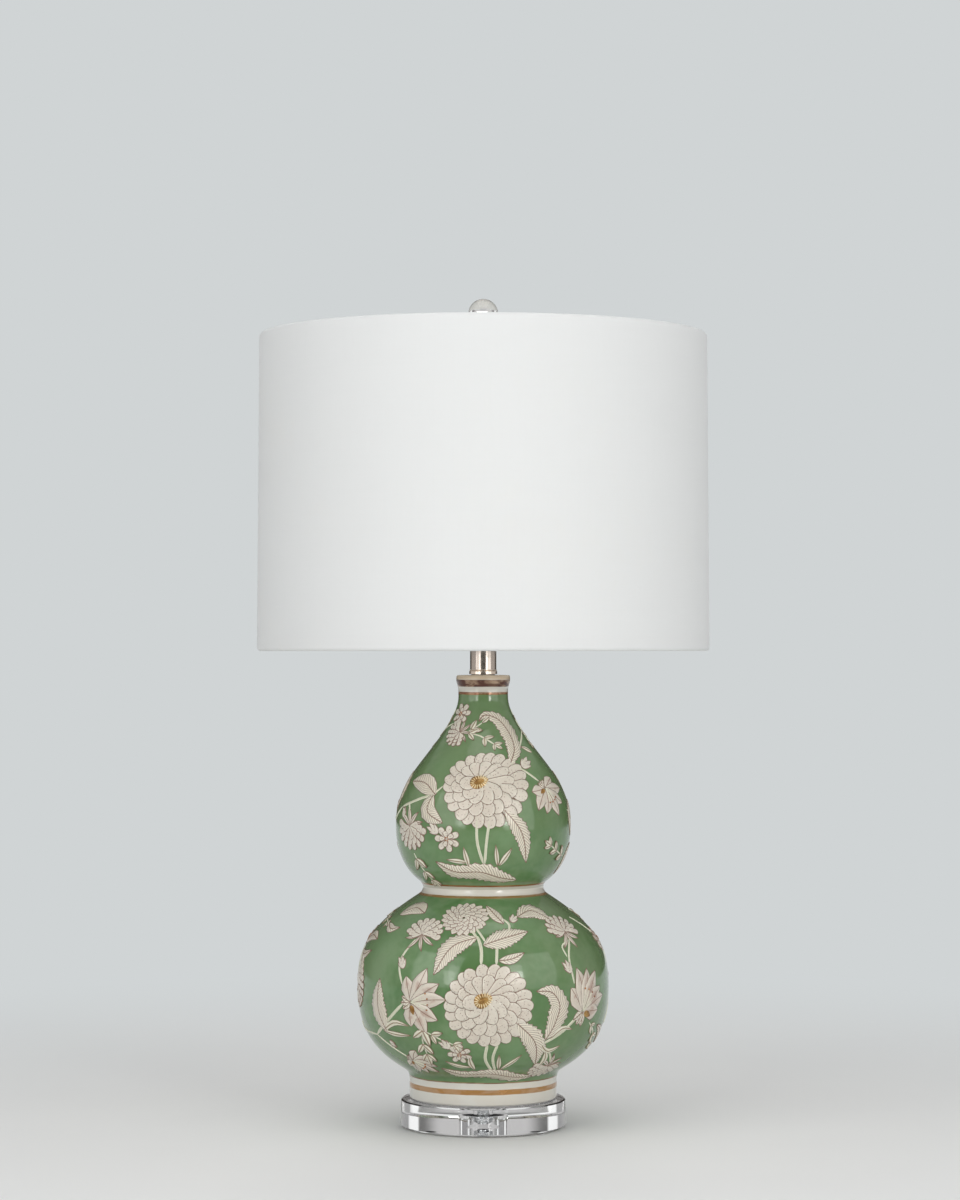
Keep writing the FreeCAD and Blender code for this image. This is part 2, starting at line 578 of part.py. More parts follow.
# --- socket -------------------------------------------------------------------------------------------
def socket_cap():
    """Lower half of the socket's case: a threaded hub, a dome and a skirt that the shell snaps into."""
    sheet = SOCKET_SHEET
    hub_bore = PIPE_RADIUS + THREAD_CLEARANCE
    hub_top = corner(CAP_HUB_RADIUS, CAP_DOME_BOTTOM)
    skirt = corner(CAP_RADIUS, CAP_SKIRT_BOTTOM)
    inner_skirt = corner(CAP_RADIUS - sheet, CAP_SKIRT_BOTTOM)
    inner_hub = corner(CAP_HUB_RADIUS, CAP_DOME_BOTTOM + sheet)
    cap = turned([
        *run_of_lines([corner(hub_bore, SADDLE_TOP), corner(CAP_HUB_RADIUS, SADDLE_TOP), hub_top]),
        curve(hub_top, 20, 0.4, skirt, 90, 0.5),
        *run_of_lines([
            skirt, corner(CAP_RADIUS, CAP_TOP), corner(CAP_RADIUS - sheet, CAP_TOP), inner_skirt,
        ]),
        curve(inner_skirt, -90, 0.5, inner_hub, 200, 0.4),
        *run_of_lines([inner_hub, corner(hub_bore, CAP_DOME_BOTTOM + sheet), corner(hub_bore, SADDLE_TOP)]),
    ])
    screw_hole = Part.makeCylinder(
        SET_SCREW_RADIUS, CAP_HUB_RADIUS + 1, V(0, 0, SADDLE_TOP + CAP_HUB_HEIGHT / 2), V(0, 1, 0)
    )
    return cap.cut(screw_hole)


def socket_set_screw():
    """Grub screw that locks the socket cap on the pipe."""
    start = PIPE_RADIUS + THREAD_CLEARANCE
    middle = SADDLE_TOP + CAP_HUB_HEIGHT / 2
    screw = Part.makeCylinder(SET_SCREW_RADIUS, CAP_HUB_RADIUS - start, V(0, start, middle), V(0, 1, 0))
    width = SET_SCREW_RADIUS / 3
    slot_start = V(-2 * SET_SCREW_RADIUS, CAP_HUB_RADIUS - width, middle - width / 2)
    return screw.cut(Part.makeBox(4 * SET_SCREW_RADIUS, 2 * width, width, slot_start))


def stem_hole(radius):
    """Cutter for a hole round the switch stem, through the front of the socket."""
    return Part.makeCylinder(radius, 2 * SHELL_RADIUS, V(0, -STEM_INSIDE, STEM_Z), V(0, -1, 0))


def socket_shell():
    """Upper half of the socket's case, with a rolled bead at its mouth and a hole for the switch stem."""
    inner = SHELL_INNER_RADIUS
    bead = SHELL_BEAD
    shell = turned_polygon([
        (inner, SHELL_BOTTOM), (SHELL_RADIUS, SHELL_BOTTOM), (SHELL_RADIUS, SHELL_TOP - 3 * bead),
        (SHELL_RADIUS + bead, SHELL_TOP - 2 * bead), (SHELL_RADIUS + bead, SHELL_TOP - bead),
        (SHELL_RADIUS, SHELL_TOP), (inner, SHELL_TOP),
    ])
    return shell.cut(stem_hole(STEM_RADIUS + SLOT_CLEARANCE))


def socket_liner():
    """Insulating paper sleeve inside the socket shell."""
    liner = tube(LINER_RADIUS, LINER_RADIUS - LINER_SHEET, SHELL_BOTTOM, SHELL_TOP - SHELL_BEAD)
    return liner.cut(stem_hole(STEM_RADIUS + SLOT_CLEARANCE))


def socket_body():
    """Moulded block that holds the contacts and the switch, with flats for the terminal screws."""
    block = rod(BLOCK_RADIUS, SHELL_BOTTOM, BLOCK_TOP)
    flat_height = BODY_BLOCK_HEIGHT - 2 * TERMINAL_HEAD_THICKNESS
    for side in (-1, 1):
        start = V(BODY_FLAT if side > 0 else -BODY_FLAT - BLOCK_RADIUS, -BLOCK_RADIUS, SHELL_BOTTOM)
        block = block.cut(Part.makeBox(BLOCK_RADIUS, 2 * BLOCK_RADIUS, flat_height, start))
        block = block.cut(terminal_part(side, TERMINAL_SHANK_RADIUS, -TERMINAL_SHANK_LENGTH, 0))
    return block.cut(stem_hole(STEM_RADIUS + RUNNING_CLEARANCE))


def terminal_part(side, radius, start, end):
    """A round stage of a terminal screw, between two distances out from its flat."""
    return Part.makeCylinder(radius, end - start, V(side * (BODY_FLAT + start), 0, STEM_Z), V(side, 0, 0))


def terminal_screws():
    """The two screws that the supply wires are fastened under."""
    screws = []
    for side in (-1, 1):
        shank = terminal_part(side, TERMINAL_SHANK_RADIUS, -TERMINAL_SHANK_LENGTH, 0)
        head = terminal_part(side, TERMINAL_HEAD_RADIUS, 0, TERMINAL_HEAD_THICKNESS)
        depth = TERMINAL_HEAD_THICKNESS / 2
        x = BODY_FLAT + TERMINAL_HEAD_THICKNESS - depth
        slot_start = V(x if side > 0 else -x - depth, -TERMINAL_HEAD_RADIUS, STEM_Z - depth / 2)
        slot = Part.makeBox(depth, 2 * TERMINAL_HEAD_RADIUS, depth, slot_start)
        screws.append(shank.fuse(head).cut(slot))
    return Part.makeCompound(screws)


def threaded_wall(inner, sheet):
    """Outline points of the bulb's thread rolled in sheet metal, as rings one pitch apart, up the outside and
    down the inside."""
    up = []
    for k in range(BULB_THREADS):
        crest = THREAD_BOTTOM + (k + 0.5) * THREAD_PITCH
        up += [(inner, crest - THREAD_PITCH / 2), (inner + THREAD_RIDGE, crest)]
    up.append((inner, THREAD_BOTTOM + BULB_THREADS * THREAD_PITCH))
    return [(r + sheet, z) for r, z in up] + [(r, z) for r, z in reversed(up)]


def screw_shell():
    """Rolled metal thread that the bulb screws into, ring for ring along the bulb's own thread."""
    inner = BULB_CAP_RADIUS - THREAD_RIDGE + TURNING_GAP
    wall = threaded_wall(inner, SCREW_SHELL_WALL)
    return turned_polygon([(inner, BLOCK_TOP), (inner + SCREW_SHELL_WALL, BLOCK_TOP), *wall])


def centre_contact():
    """Springy brass tongue under the bulb's tip."""
    low = BLOCK_TOP
    high = low + CONTACT_RISE
    half = CONTACT_LENGTH / 2
    t = CONTACT_THICKNESS
    points = [
        (-half, low), (-half / 2, low), (0, high), (half / 2, high),
        (half / 2, high + t), (-t / 2, high + t), (-half / 2 - t / 2, low + t), (-half, low + t),
    ]
    corners = [V(x, -CONTACT_WIDTH / 2, z) for x, z in points]
    face = Part.Face(Part.Wire(run_of_lines([*corners, corners[0]])))
    return face.extrude(V(0, CONTACT_WIDTH, 0))


# --- switch -------------------------------------------------------------------------------------------
KNOB_START = SHELL_RADIUS + STEM_OUTSIDE - KNOB_LENGTH / 2


def switch_stem():
    """Turned stem that works the switch inside the socket."""
    length = SHELL_RADIUS + STEM_OUTSIDE - STEM_INSIDE
    return Part.makeCylinder(STEM_RADIUS, length, V(0, -STEM_INSIDE, STEM_Z), V(0, -1, 0))


def switch_knob():
    """Ribbed knob pressed on the stem."""
    start = V(0, -KNOB_START, STEM_Z)
    knob = Part.makeCone(KNOB_RADIUS, 0.85 * KNOB_RADIUS, KNOB_LENGTH, start, V(0, -1, 0))
    for k in range(KNOB_RIBS):
        angle = math.radians(360 * k / KNOB_RIBS)
        x, z = KNOB_RADIUS * math.cos(angle), STEM_Z + KNOB_RADIUS * math.sin(angle)
        groove_start = V(x, -KNOB_START + 1, z)
        knob = knob.cut(Part.makeCylinder(2 * KNOB_RIB_DEPTH, 0.8 * KNOB_LENGTH, groove_start, V(0, -1, 0)))
    socket = Part.makeCylinder(STEM_RADIUS, KNOB_LENGTH / 2, start, V(0, -1, 0))
    return knob.cut(socket)


# --- bulb ---------------------------------------------------------------------------------------------
def bulb_tip():
    """Solder contact at the bottom of the bulb."""
    return turned_polygon([
        (0, BULB_TIP), (0.6 * BULB_TIP_RADIUS, BULB_TIP), (BULB_TIP_RADIUS, BULB_TIP + BULB_TIP_HEIGHT / 2),
        (BULB_TIP_RADIUS, BULB_TIP + BULB_TIP_HEIGHT), (0, BULB_TIP + BULB_TIP_HEIGHT),
    ])


def bulb_insulator():
    """Black glass cone between the tip and the bulb's cap."""
    low = BULB_TIP + BULB_TIP_HEIGHT
    high = BULB_CAP_BOTTOM
    return turned_polygon([(0, low), (BULB_TIP_RADIUS, low), (BULB_INSULATOR_TOP_RADIUS, high), (0, high)])


def bulb_cap():
    """Screw cap of the bulb, in thin sheet with a rolled thread."""
    sheet = BULB_CAP_SHEET
    low = BULB_CAP_BOTTOM
    top = BULB_TIP + BULB_CAP_TOP
    wall = threaded_wall(BULB_CAP_RADIUS - THREAD_RIDGE - sheet, sheet)
    count = len(wall) // 2
    outside, inside = wall[:count], wall[count:]
    return turned_polygon([
        (0, low), (BULB_INSULATOR_TOP_RADIUS, low), *outside,
        (BULB_CAP_RADIUS, top - BULB_SEAT_DEPTH), (BULB_CAP_RADIUS, top),
        (BULB_CAP_RADIUS - sheet, top), (BULB_CAP_RADIUS - sheet, top - BULB_SEAT_DEPTH), *inside,
        (BULB_INSULATOR_TOP_RADIUS - sheet, low + sheet), (0, low + sheet),
    ])


def bulb_outline(inset):
    """Edges of the bulb's glass, from its neck round to the top, drawn in by inset."""
    low = corner(BULB_NECK_RADIUS - inset, BULB_TIP + BULB_NECK_HEIGHT)
    wide = corner(BULB_RADIUS - inset, BULB_TIP + BULB_WIDEST_HEIGHT)
    top = corner(0, BULB_TIP + BULB_LENGTH - inset)
    return [curve(low, 90, 0.35, wide, 90, 0.35), curve(wide, 90, 0.38, top, 180, 0.38)]


def bulb_glass():
    """Frosted glass envelope, seated in the mouth of its cap."""
    rim = BULB_TIP + BULB_CAP_TOP
    seat = rim - BULB_SEAT_DEPTH + SLIP_CLEARANCE
    plug = BULB_CAP_RADIUS - BULB_CAP_SHEET - SLIP_CLEARANCE
    wall = BULB_GLASS_WALL
    neck_outer = corner(BULB_NECK_RADIUS, BULB_TIP + BULB_NECK_HEIGHT)
    top_inner = corner(0, BULB_TIP + BULB_LENGTH - wall)
    outer = turned([
        *run_of_lines([
            corner(0, seat), corner(plug, seat), corner(plug, rim),
            corner(BULB_NECK_RADIUS, rim + SLIP_CLEARANCE), neck_outer,
        ]),
        *bulb_outline(0),
        *run_of_lines([corner(0, BULB_TIP + BULB_LENGTH), corner(0, seat)]),
    ])
    inner = turned([
        *run_of_lines([
            corner(0, seat - 1), corner(plug - wall, seat - 1),
            corner(plug - wall, rim), corner(BULB_NECK_RADIUS - wall, BULB_TIP + BULB_NECK_HEIGHT),
        ]),
        *bulb_outline(wall),
        *run_of_lines([top_inner, corner(0, seat - 1)]),
    ])
    return outer.cut(inner)


def bulb_stem():
    """Glass mount inside the bulb that carries the filament's leads, flared to its seat in the cap."""
    foot = BULB_CAP_BOTTOM + BULB_CAP_SHEET
    top = BULB_TIP + BULB_STEM_TOP
    flare = 2 * BULB_STEM_RADIUS
    return turned_polygon([
        (0, foot), (flare, foot), (BULB_STEM_RADIUS, foot + flare),
        (BULB_STEM_RADIUS, top - 3 * BULB_STEM_RADIUS), (BULB_STEM_RADIUS / 2, top), (0, top),
    ])


def bulb_filament():
    """Coiled tungsten filament on its two leads, which spread from the mount."""
    start = BULB_TIP + BULB_STEM_TOP - 3 * BULB_STEM_RADIUS
    level = BULB_TIP + FILAMENT_HEIGHT
    coil = Part.makeCylinder(
        FILAMENT_RADIUS, 2 * FILAMENT_HALF_LENGTH, V(-FILAMENT_HALF_LENGTH, 0, level), V(1, 0, 0)
    )
    for side in (-1, 1):
        foot = V(side * (BULB_STEM_RADIUS + LEAD_RADIUS), 0, start)
        knee = V(side * (BULB_STEM_RADIUS + LEAD_RADIUS), 0, start + 0.4 * (level - start))
        tip = V(side * (FILAMENT_HALF_LENGTH - FILAMENT_RADIUS), 0, level)
        coil = coil.fuse(bent_wire([foot, knee, tip], LEAD_RADIUS))
    return coil


# --- shade --------------------------------------------------------------------------------------------
SHADE_TOP_RADIUS = SHADE_BOTTOM_RADIUS - SHADE_TAPER
HEM_ROLL_RADIUS = FABRIC_THICKNESS + LINER_THICKNESS + 2 * SLIP_CLEARANCE + HEM_SLACK + RING_WIRE_RADIUS
TOP_RING_Z = SHADE_TOP - HEM_ROLL_RADIUS
BOTTOM_RING_Z = SHADE_BOTTOM + HEM_ROLL_RADIUS
TOP_RING_RADIUS = SHADE_TOP_RADIUS - HEM_ROLL_RADIUS
BOTTOM_RING_RADIUS = SHADE_BOTTOM_RADIUS - HEM_ROLL_RADIUS
SPOKE_Z = FITTER_WASHER_TOP - FITTER_WASHER_THICKNESS / 2


def rolled_hem(radius, middle, outward):
    """The edges that carry the fabric's outline round one rim: over the outside of the roll, down its return
    and back along its inner face. outward is 1 at the top rim and -1 at the bottom one."""
    centre = radius - HEM_ROLL_RADIUS
    return_z = middle - outward * HEM_RETURN
    far_side = radius - 2 * HEM_ROLL_RADIUS
    near_side = far_side + FABRIC_THICKNESS
    crown = corner(centre, middle + outward * HEM_ROLL_RADIUS)
    inner_crown = corner(centre, middle + outward * (HEM_ROLL_RADIUS - FABRIC_THICKNESS))
    start, end = corner(radius, middle), corner(radius - FABRIC_THICKNESS, middle)
    turn, turn_back = corner(far_side, middle), corner(near_side, middle)
    return [
        Part.Arc(start, crown, turn).toShape(),
        *run_of_lines([turn, corner(far_side, return_z), corner(near_side, return_z), turn_back]),
        Part.Arc(turn_back, inner_crown, end).toShape(),
    ]


def spoke(angle, radius):
    """One spoke of the fitter, from the ring down a short slope and level in to the washer."""
    direction = V(math.cos(math.radians(angle)), math.sin(math.radians(angle)), 0)
    return bent_wire([
        direction * TOP_RING_RADIUS + UP * TOP_RING_Z,
        direction * (TOP_RING_RADIUS - SPOKE_SLOPE_RUN) + UP * SPOKE_Z,
        direction * (STUD_PLATE_RADIUS + SLIP_CLEARANCE) + UP * SPOKE_Z,
    ], radius)


def spoke_angles():
    """The directions of the spokes, in degrees."""
    return [SPOKE_START_ANGLE + 360 * k / SPOKE_COUNT for k in range(SPOKE_COUNT)]


def shade_fabric():
    """The drum's outer cloth, rolled over a ring at each rim and notched for the spokes."""
    drum = turned([
        *rolled_hem(SHADE_TOP_RADIUS, TOP_RING_Z, 1),
        *run_of_lines([
            corner(SHADE_TOP_RADIUS - FABRIC_THICKNESS, TOP_RING_Z),
            corner(SHADE_BOTTOM_RADIUS - FABRIC_THICKNESS, BOTTOM_RING_Z),
        ]),
        *reversed(rolled_hem(SHADE_BOTTOM_RADIUS, BOTTOM_RING_Z, -1)),
        *run_of_lines([corner(SHADE_BOTTOM_RADIUS, BOTTOM_RING_Z), corner(SHADE_TOP_RADIUS, TOP_RING_Z)]),
    ])
    for angle in spoke_angles():
        drum = drum.cut(spoke(angle, SPOKE_RADIUS + SPOKE_NOTCH_CLEARANCE))
    return drum


def shade_liner():
    """White plastic sheet that stiffens the drum, inside its cloth."""
    gap = FABRIC_THICKNESS + SLIP_CLEARANCE
    return turned_polygon([
        (SHADE_BOTTOM_RADIUS - gap, BOTTOM_RING_Z), (SHADE_TOP_RADIUS - gap, TOP_RING_Z),
        (SHADE_TOP_RADIUS - gap - LINER_THICKNESS, TOP_RING_Z),
        (SHADE_BOTTOM_RADIUS - gap - LINER_THICKNESS, BOTTOM_RING_Z),
    ])


def spider_fitter():
    """Top ring, three spokes and the washer that drops over the harp's stud, welded together."""
    washer = rod(FITTER_WASHER_RADIUS, FITTER_WASHER_TOP - FITTER_WASHER_THICKNESS, FITTER_WASHER_TOP)
    fitter = Part.makeTorus(TOP_RING_RADIUS, RING_WIRE_RADIUS, V(0, 0, TOP_RING_Z)).fuse(washer)
    for angle in spoke_angles():
        fitter = fitter.fuse(spoke(angle, SPOKE_RADIUS))
    hole = rod(FITTER_HOLE_RADIUS, FITTER_WASHER_TOP - 2 * FITTER_WASHER_THICKNESS, FITTER_WASHER_TOP + 1)
    return fitter.cut(hole)


def bottom_ring():
    """Plain wire ring in the drum's lower rim."""
    return Part.makeTorus(BOTTOM_RING_RADIUS, RING_WIRE_RADIUS, V(0, 0, BOTTOM_RING_Z))


# --- finial -------------------------------------------------------------------------------------------
def finial_base():
    """Nickel base of the finial, bored for the stud's thread and cupped for the ball."""
    low = FITTER_WASHER_TOP
    cup_top = BALL_Z - BALL_RADIUS + BALL_SEAT_DEPTH
    flange = corner(FINIAL_FLANGE_RADIUS, low + FINIAL_FLANGE_HEIGHT)
    stem = corner(FINIAL_STEM_RADIUS, low + 0.45 * (cup_top - low))
    cup = corner(FINIAL_CUP_RADIUS, cup_top - 1)
    body = turned([
        *run_of_lines([corner(0, low), corner(FINIAL_FLANGE_RADIUS, low), flange]),
        curve(flange, 180, 0.3, stem, 90, 0.5),
        curve(stem, 90, 0.5, cup, 60, 0.2),
        *run_of_lines([cup, corner(FINIAL_CUP_RADIUS, cup_top), corner(0, cup_top), corner(0, low)]),
    ])
    bore = rod(
        STUD_THREAD_RADIUS + FINIAL_BORE_CLEARANCE, low - 1, low + STUD_THREAD_LENGTH + TURNING_GAP
    )
    seat = Part.makeSphere(BALL_RADIUS, V(0, 0, BALL_Z))
    return body.cut(bore).cut(seat)


def finial_ball():
    """Clear solid ball of the finial."""
    return Part.makeSphere(BALL_RADIUS, V(0, 0, BALL_Z))


def pieces():
    """Every piece of the lamp, by the name of its node."""
    return {
        "bumper_feet": bumper_feet(),
        "acrylic_base": acrylic_base(),
        "base_washer": base_washer(),
        "base_nut": base_nut(),
        "lamp_pipe": lamp_pipe(),
        "foot_gasket": foot_gasket(),
        "lower_gourd": lower_gourd(),
        "upper_gourd": upper_gourd(),
        "cord_grommet": cord_grommet(),
        "neck_washer": neck_washer(),
        "lower_check_ring": lower_check_ring(),
        "neck_tube": neck_tube(),
        "upper_check_ring": upper_check_ring(),
        "saddle_nut": saddle_nut(),
        "harp_saddle": harp_saddle(),
        "harp_wire": harp_wire(),
        "left_harp_sleeve": harp_sleeve(-1),
        "right_harp_sleeve": harp_sleeve(1),
        "harp_stud": harp_stud(),
        "socket_cap": socket_cap(),
        "socket_set_screw": socket_set_screw(),
        "socket_shell": socket_shell(),
        "socket_liner": socket_liner(),
        "socket_body": socket_body(),
        "terminal_screws": terminal_screws(),
        "screw_shell": screw_shell(),
        "centre_contact": centre_contact(),
        "switch_stem": switch_stem(),
        "switch_knob": switch_knob(),
        "bulb_tip": bulb_tip(),
        "bulb_insulator": bulb_insulator(),
        "bulb_cap": bulb_cap(),
        "bulb_glass": bulb_glass(),
        "bulb_stem": bulb_stem(),
        "bulb_filament": bulb_filament(),
        "shade_fabric": shade_fabric(),
        "shade_liner": shade_liner(),
        "spider_fitter": spider_fitter(),
        "bottom_ring": bottom_ring(),
        "finial_base": finial_base(),
        "finial_ball": finial_ball(),
    }


def write_parts():
    """Writes each piece to parts/ and prints its volume and height range."""
    os.makedirs("parts", exist_ok=True)
    for name, shape in pieces().items():
        if shape.ShapeType == "Compound" and len(shape.Solids) == 1:
            shape = shape.Solids[0]
        box = shape.BoundBox
        print(
            f"{name:20s} solids {len(shape.Solids)} valid {shape.isValid()} volume {shape.Volume:10.1f}"
            f"  z {box.ZMin:7.2f} to {box.ZMax:7.2f}  x {box.XMax:6.1f}"
        )
        shape.exportStep(f"parts/{name}.step")


write_parts()
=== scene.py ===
"""Dresses the double gourd table lamp: painted ceramic, raised slip, metal fittings, cloth shade, clear disc."""

import json
import logging
import math
import random
from dataclasses import dataclass, field
from enum import Enum
from functools import cache

import bmesh
import bpy
import numpy as np
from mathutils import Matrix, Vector

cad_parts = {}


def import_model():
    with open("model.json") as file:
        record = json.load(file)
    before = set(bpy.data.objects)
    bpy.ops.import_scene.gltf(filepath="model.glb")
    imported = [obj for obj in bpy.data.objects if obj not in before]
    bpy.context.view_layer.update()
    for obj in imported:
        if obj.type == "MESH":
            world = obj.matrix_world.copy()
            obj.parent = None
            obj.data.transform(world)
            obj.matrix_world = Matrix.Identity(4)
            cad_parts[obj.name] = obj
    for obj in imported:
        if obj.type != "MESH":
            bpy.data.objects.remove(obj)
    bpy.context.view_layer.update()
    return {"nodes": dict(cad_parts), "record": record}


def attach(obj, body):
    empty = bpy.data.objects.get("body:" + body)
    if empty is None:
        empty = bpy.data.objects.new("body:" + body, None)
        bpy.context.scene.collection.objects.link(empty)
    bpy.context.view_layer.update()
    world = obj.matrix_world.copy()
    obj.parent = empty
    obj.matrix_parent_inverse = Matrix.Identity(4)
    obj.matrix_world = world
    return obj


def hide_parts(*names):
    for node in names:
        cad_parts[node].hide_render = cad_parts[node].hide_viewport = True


LOG = logging.getLogger("gourd_lamp")
MM = 0.001
Point = tuple[float, float]
Triple = tuple[float, float, float]
Colour = tuple[float, float, float, float]
Socket = bpy.types.NodeSocket
Sockets = bpy.types.bpy_prop_collection


def tint(red: float, green: float, blue: float) -> Colour:
    """Turns a colour picked on screen into the linear one that a shader takes.

    Args:
        red: red from 0 to 255.
        green: green from 0 to 255.
        blue: blue from 0 to 255.

    Returns:
        The linear colour with full opacity.
    """
    parts = []
    for part in (red, green, blue):
        share = part / 255
        parts.append(share / 12.92 if share <= 0.04045 else ((share + 0.055) / 1.055) ** 2.4)
    return (parts[0], parts[1], parts[2], 1.0)


def polar(reach: float, heading: float) -> Point:
    """Steps away from the origin.

    Args:
        reach: how far.
        heading: degrees from the right round to the top.

    Returns:
        The place that is reached.
    """
    turn = math.radians(heading)
    return reach * math.cos(turn), reach * math.sin(turn)


# --- node trees
class Graph:
    """Short calls for the nodes that a finish places again and again."""

    # The Mix node has sockets for every kind of value. These are its factor, its two colours and its colour result.
    MIX_INPUTS = (0, 6, 7)
    MIX_OUTPUT = 2

    def __init__(self, tree: bpy.types.NodeTree) -> None:
        """Keeps the tree that the calls write to.

        Args:
            tree: the node tree of a material, a group or a modifier.
        """
        self.tree = tree

    @classmethod
    def fresh(cls, owner: bpy.types.Material | bpy.types.World) -> "Graph":
        """Empties the node tree of a material or a world.

        Args:
            owner: the material or world.

        Returns:
            The graph of its empty tree.
        """
        owner.use_nodes = True
        owner.node_tree.nodes.clear()
        return cls(owner.node_tree)

    def node(self, kind: str, **settings: object) -> bpy.types.Node:
        """Places a node.

        Args:
            kind: the node's type name.
            settings: properties of the node, by name.

        Returns:
            The new node.
        """
        made = self.tree.nodes.new(kind)
        for name, value in settings.items():
            setattr(made, name, value)
        return made

    def put(self, socket: Socket, value: object) -> None:
        """Links a socket to another, or sets its value.

        Args:
            socket: the input to fill.
            value: an output socket, or a plain value.
        """
        if isinstance(value, Socket):
            self.tree.links.new(value, socket)
        else:
            socket.default_value = value

    def fill(self, made: bpy.types.Node, **inputs: object) -> bpy.types.Node:
        """Fills a node's inputs.

        Args:
            made: the node.
            inputs: sockets or plain values by the input's name, with _ for a space.

        Returns:
            The same node.
        """
        for name, value in inputs.items():
            self.put(made.inputs[name.replace("_", " ")], value)
        return made

    def math(self, operation: str, *terms: object, clamp: bool = False) -> Socket:
        """Works out one sum.

        Args:
            operation: the Math node's operation.
            terms: its inputs, sockets or numbers.
            clamp: keeps the result from 0 to 1.

        Returns:
            The result's socket.
        """
        made = self.node("ShaderNodeMath", operation=operation, use_clamp=clamp)
        for socket, term in zip(made.inputs, terms):
            self.put(socket, term)
        return made.outputs[0]

    def times(self, first: object, second: object) -> Socket:
        """Multiplies two numbers."""
        return self.math("MULTIPLY", first, second)

    def plus(self, first: object, second: object) -> Socket:
        """Adds two numbers."""
        return self.math("ADD", first, second)

    def less(self, first: object, second: object) -> Socket:
        """Takes the second number from the first."""
        return self.math("SUBTRACT", first, second)

    def times_plus(self, first: object, second: object, third: object) -> Socket:
        """Multiplies the first two numbers and adds the third."""
        return self.math("MULTIPLY_ADD", first, second, third)

    def size_of(self, value: object) -> Socket:
        """Drops a number's sign."""
        return self.math("ABSOLUTE", value)

    def greater(self, first: object, second: object) -> Socket:
        """Gives the greater of two numbers."""
        return self.math("MAXIMUM", first, second)

    def slant(self, first: object, second: object) -> Socket:
        """Gives the straight length over two numbers at right angles."""
        return self.math("SQRT", self.plus(self.math("POWER", first, 2.0), self.math("POWER", second, 2.0)))

    def smooth(self, value: object, low: object, high: object) -> Socket:
        """Rises softly from 0 where the value is low to 1 where it is high."""
        made = self.node("ShaderNodeMapRange", interpolation_type="SMOOTHSTEP")
        return self.fill(made, Value=value, From_Min=low, From_Max=high).outputs[0]

    def between(self, share: object, low: object, high: object) -> Socket:
        """Mixes two numbers, where the share says how much of the second."""
        return self.fill(self.node("ShaderNodeMapRange"), Value=share, To_Min=low, To_Max=high).outputs[0]

    def mix(self, share: object, first: object, second: object) -> Socket:
        """Mixes two colours.

        Args:
            share: how much of the second.
            first: colour or socket.
            second: colour or socket.

        Returns:
            The mixed colour's socket.
        """
        made = self.node("ShaderNodeMix", data_type="RGBA")
        for index, value in zip(self.MIX_INPUTS, (share, first, second)):
            self.put(made.inputs[index], value)
        return made.outputs[self.MIX_OUTPUT]

    def blend(self, share: object, first: Socket, second: Socket) -> Socket:
        """Mixes two shaders.

        Args:
            share: how much of the second.
            first: the first shader.
            second: the second shader.

        Returns:
            The mixed shader's socket.
        """
        made = self.node("ShaderNodeMixShader")
        for socket, value in zip(made.inputs, (share, first, second)):
            self.put(socket, value)
        return made.outputs[0]

    def noise(self, place: object, scale: object, detail: float = 2.0, stir: float = 0.0) -> Socket:
        """Reads soft noise, with finer layers as detail says and distorted as stir says."""
        made = self.node("ShaderNodeTexNoise")
        return self.fill(made, Vector=place, Scale=scale, Detail=detail, Distortion=stir).outputs[0]

    def scaled(self, place: object, size: Triple) -> Socket:
        """Stretches coordinates by a factor on each axis."""
        return self.fill(self.node("ShaderNodeMapping"), Vector=place, Scale=size).outputs[0]

    def split(self, place: object) -> Sockets:
        """Splits coordinates into X, Y and Z."""
        return self.fill(self.node("ShaderNodeSeparateXYZ"), Vector=place).outputs

    def where(self) -> Socket:
        """Gives the Object coordinates."""
        return self.node("ShaderNodeTexCoord").outputs["Object"]

    def attribute(self, name: str, output: str = "Fac") -> Socket:
        """Reads a piece's own attribute."""
        return self.node("ShaderNodeAttribute", attribute_name=name).outputs[output]

    def effect(self, tree: bpy.types.NodeTree, **values: object) -> Sockets:
        """Places a shared effect with its values, and gives its outputs."""
        return self.fill(self.node("ShaderNodeGroup", node_tree=tree), **values).outputs

    def bump(self, height: object, depth: float, strength: float = 1.0) -> Socket:
        """Turns a height into a normal, where a height of 1 stands for the depth in metres."""
        return self.fill(self.node("ShaderNodeBump"), Strength=strength, Distance=depth, Height=height).outputs[0]


